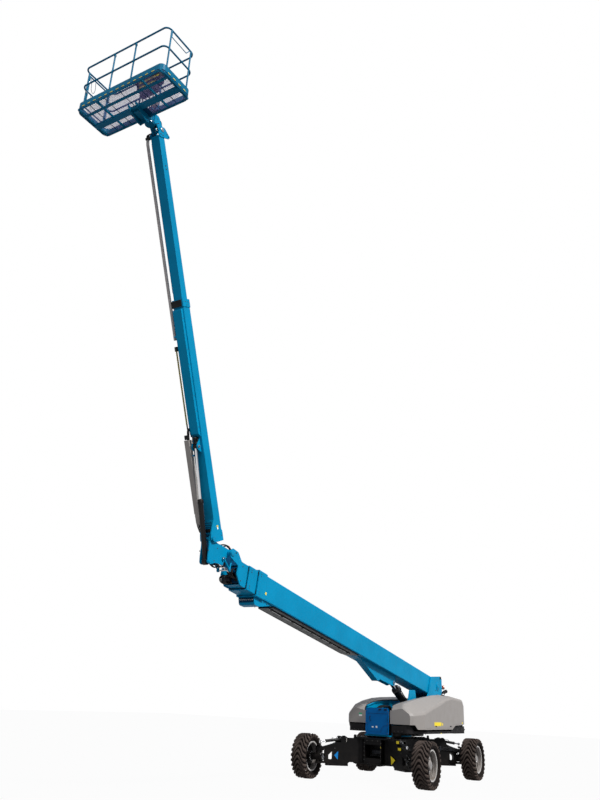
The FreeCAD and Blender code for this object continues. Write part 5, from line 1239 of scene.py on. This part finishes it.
# ---- making it -----------------------------------------------------------------------
for corner in CORNERS:
    tyre(corner)
    rim_fittings(corner)
    leg_fittings(corner)
    knuckle_fittings(corner)
    steering_fittings(corner)
    paint(SILVER, "rim_" + corner)
    paint(BLACK, "axle_leg_" + corner, "knuckle_" + corner)
    paint(RAM_BLACK, "steer_cylinder_" + corner)
    paint(CHROME, "steer_rod_" + corner)
chassis_fittings()
panel_fittings()
bay_fittings()
turret_fittings()
cowl_fittings(1)
cowl_fittings(-1)
tray_fittings()
beacon()
base_fittings()
section_fittings()
knuckle_linkage()
ram_fittings("lift_ram_fittings", "lift_barrel", LIFT, 2.25, 0.105)
lift_valve()
jib_ram()
ram_fittings("level_ram_fittings", "level_barrel", LEVEL_RAM, 0.7, 0.048)
jib_fittings()
fly_fittings()
floor_mesh()
platform_fittings()
control_station()
leveller_fittings()
paint(BLACK, "chassis_frame", "slew_ring")
paint(BLUE, "turret_frame", "boom_base", "boom_mid", "boom_inner", "jib_knuckle", "jib_outer", "jib_channel",
      "jib_fly", "platform_leveller")
# the front panel in the darkened blue: painted shade
paint(SHADED_PANEL_BLUE, "front_panel")
paint(TRAY, "side_trays")
paint(IRON, "counterweight")
paint(ENGINE, "engine_block")
paint(COWL, "cowl_left", "cowl_right")
paint(CHARCOAL, "boom_tray")
paint(RAM_BLACK, "lift_cylinder", "level_cylinder")
paint(CHROME, "lift_rod", "level_rod")
paint(GREY_TRAY, "hose_tray")
# the platform and its rails in the blue darkened part way: partly painted shade
paint(PART_SHADED_RAIL_BLUE, "platform_base", "platform_side_rails", "platform_end_rails", "platform_gate")


# ---- floor, light and camera ---------------------------------------------------------
FLOOR_WHITE = 0.965     # how far the floor shows as plain white to the camera


def in_scene(name, data):
    made = bpy.data.objects.new(name, data)
    bpy.context.scene.collection.objects.link(made)
    return made


def show_white(tree, kinds, share, lit, output):
    """Mixes plain white into a surface or world for two kinds of ray."""
    rays = node(tree, "LightPath").outputs
    seen = reckon(tree, "MAXIMUM", *[rays[kind] for kind in kinds])
    white = node(tree, "Emission" if output == "Material Output" else "Background",
                 {"Color": (1, 1, 1, 1), "Strength": 1.0}).outputs[0]
    mixed = node(tree, "MixShader", {0: reckon(tree, "MULTIPLY", seen, share), 1: lit.outputs[0], 2: white})
    tree.links.new(mixed.outputs[0], tree.nodes[output].inputs["Surface"])


def floor():
    """A pale floor that shows white to the camera, but for the shade under the machine."""
    data = bpy.data.meshes.new("floor")
    data.from_pydata([(-60, -60, 0), (60, -60, 0), (60, 60, 0), (-60, 60, 0)], [], [(0, 1, 2, 3)])
    pale = bpy.data.materials.new("floor_white")
    pale.use_nodes = True
    bsdf = pale.node_tree.nodes["Principled BSDF"]
    bsdf.inputs["Base Color"].default_value = (0.14, 0.14, 0.15, 1)
    bsdf.inputs["Roughness"].default_value = 0.8
    show_white(pale.node_tree, ("Is Camera Ray", "Is Glossy Ray"), FLOOR_WHITE, bsdf, "Material Output")
    data.materials.append(pale)
    made = in_scene("floor", data)


def light():
    """A cool, even sky that shows white to the camera, a high key light and a soft fill."""
    world = bpy.data.worlds.new("studio")
    world.use_nodes = True
    sky = world.node_tree.nodes["Background"]
    sky.inputs["Color"].default_value = (0.84, 0.89, 1.0, 1)
    sky.inputs["Strength"].default_value = 0.47
    show_white(world.node_tree, ("Is Camera Ray", "Is Transmission Ray"), 1.0, sky, "World Output")
    bpy.context.scene.world = world
    for name, toward, strength, degrees in (("key", (-0.1, -0.68, -0.72), 3.7, 8),
                                            ("fill", (-0.65, -0.1, -0.72), 0.9, 40)):
        data = bpy.data.lights.new(name, "SUN")
        data.energy = strength
        data.angle = math.radians(degrees)
        lamp = in_scene(name, data)
        lamp.rotation_mode = "QUATERNION"
        lamp.rotation_quaternion = (-Z).rotation_difference(Vector(toward).normalized())


def camera():
    data = bpy.data.cameras.new("camera")
    data.lens = 33.24
    data.clip_end = 400
    made = in_scene("camera", data)
    right = Vector((-0.5113, 0.8583, 0.0421)).normalized()
    back = right.cross(Vector((0.3464, 0.161, 0.9242))).normalized()
    turn = Matrix((right, back.cross(right), back)).transposed().to_4x4()
    made.matrix_world = Matrix.Translation((21.901, 9.823, 1.912)) @ turn
    bpy.context.scene.camera = made


floor()
light()
camera()
bpy.context.scene.view_settings.view_transform = "Standard"
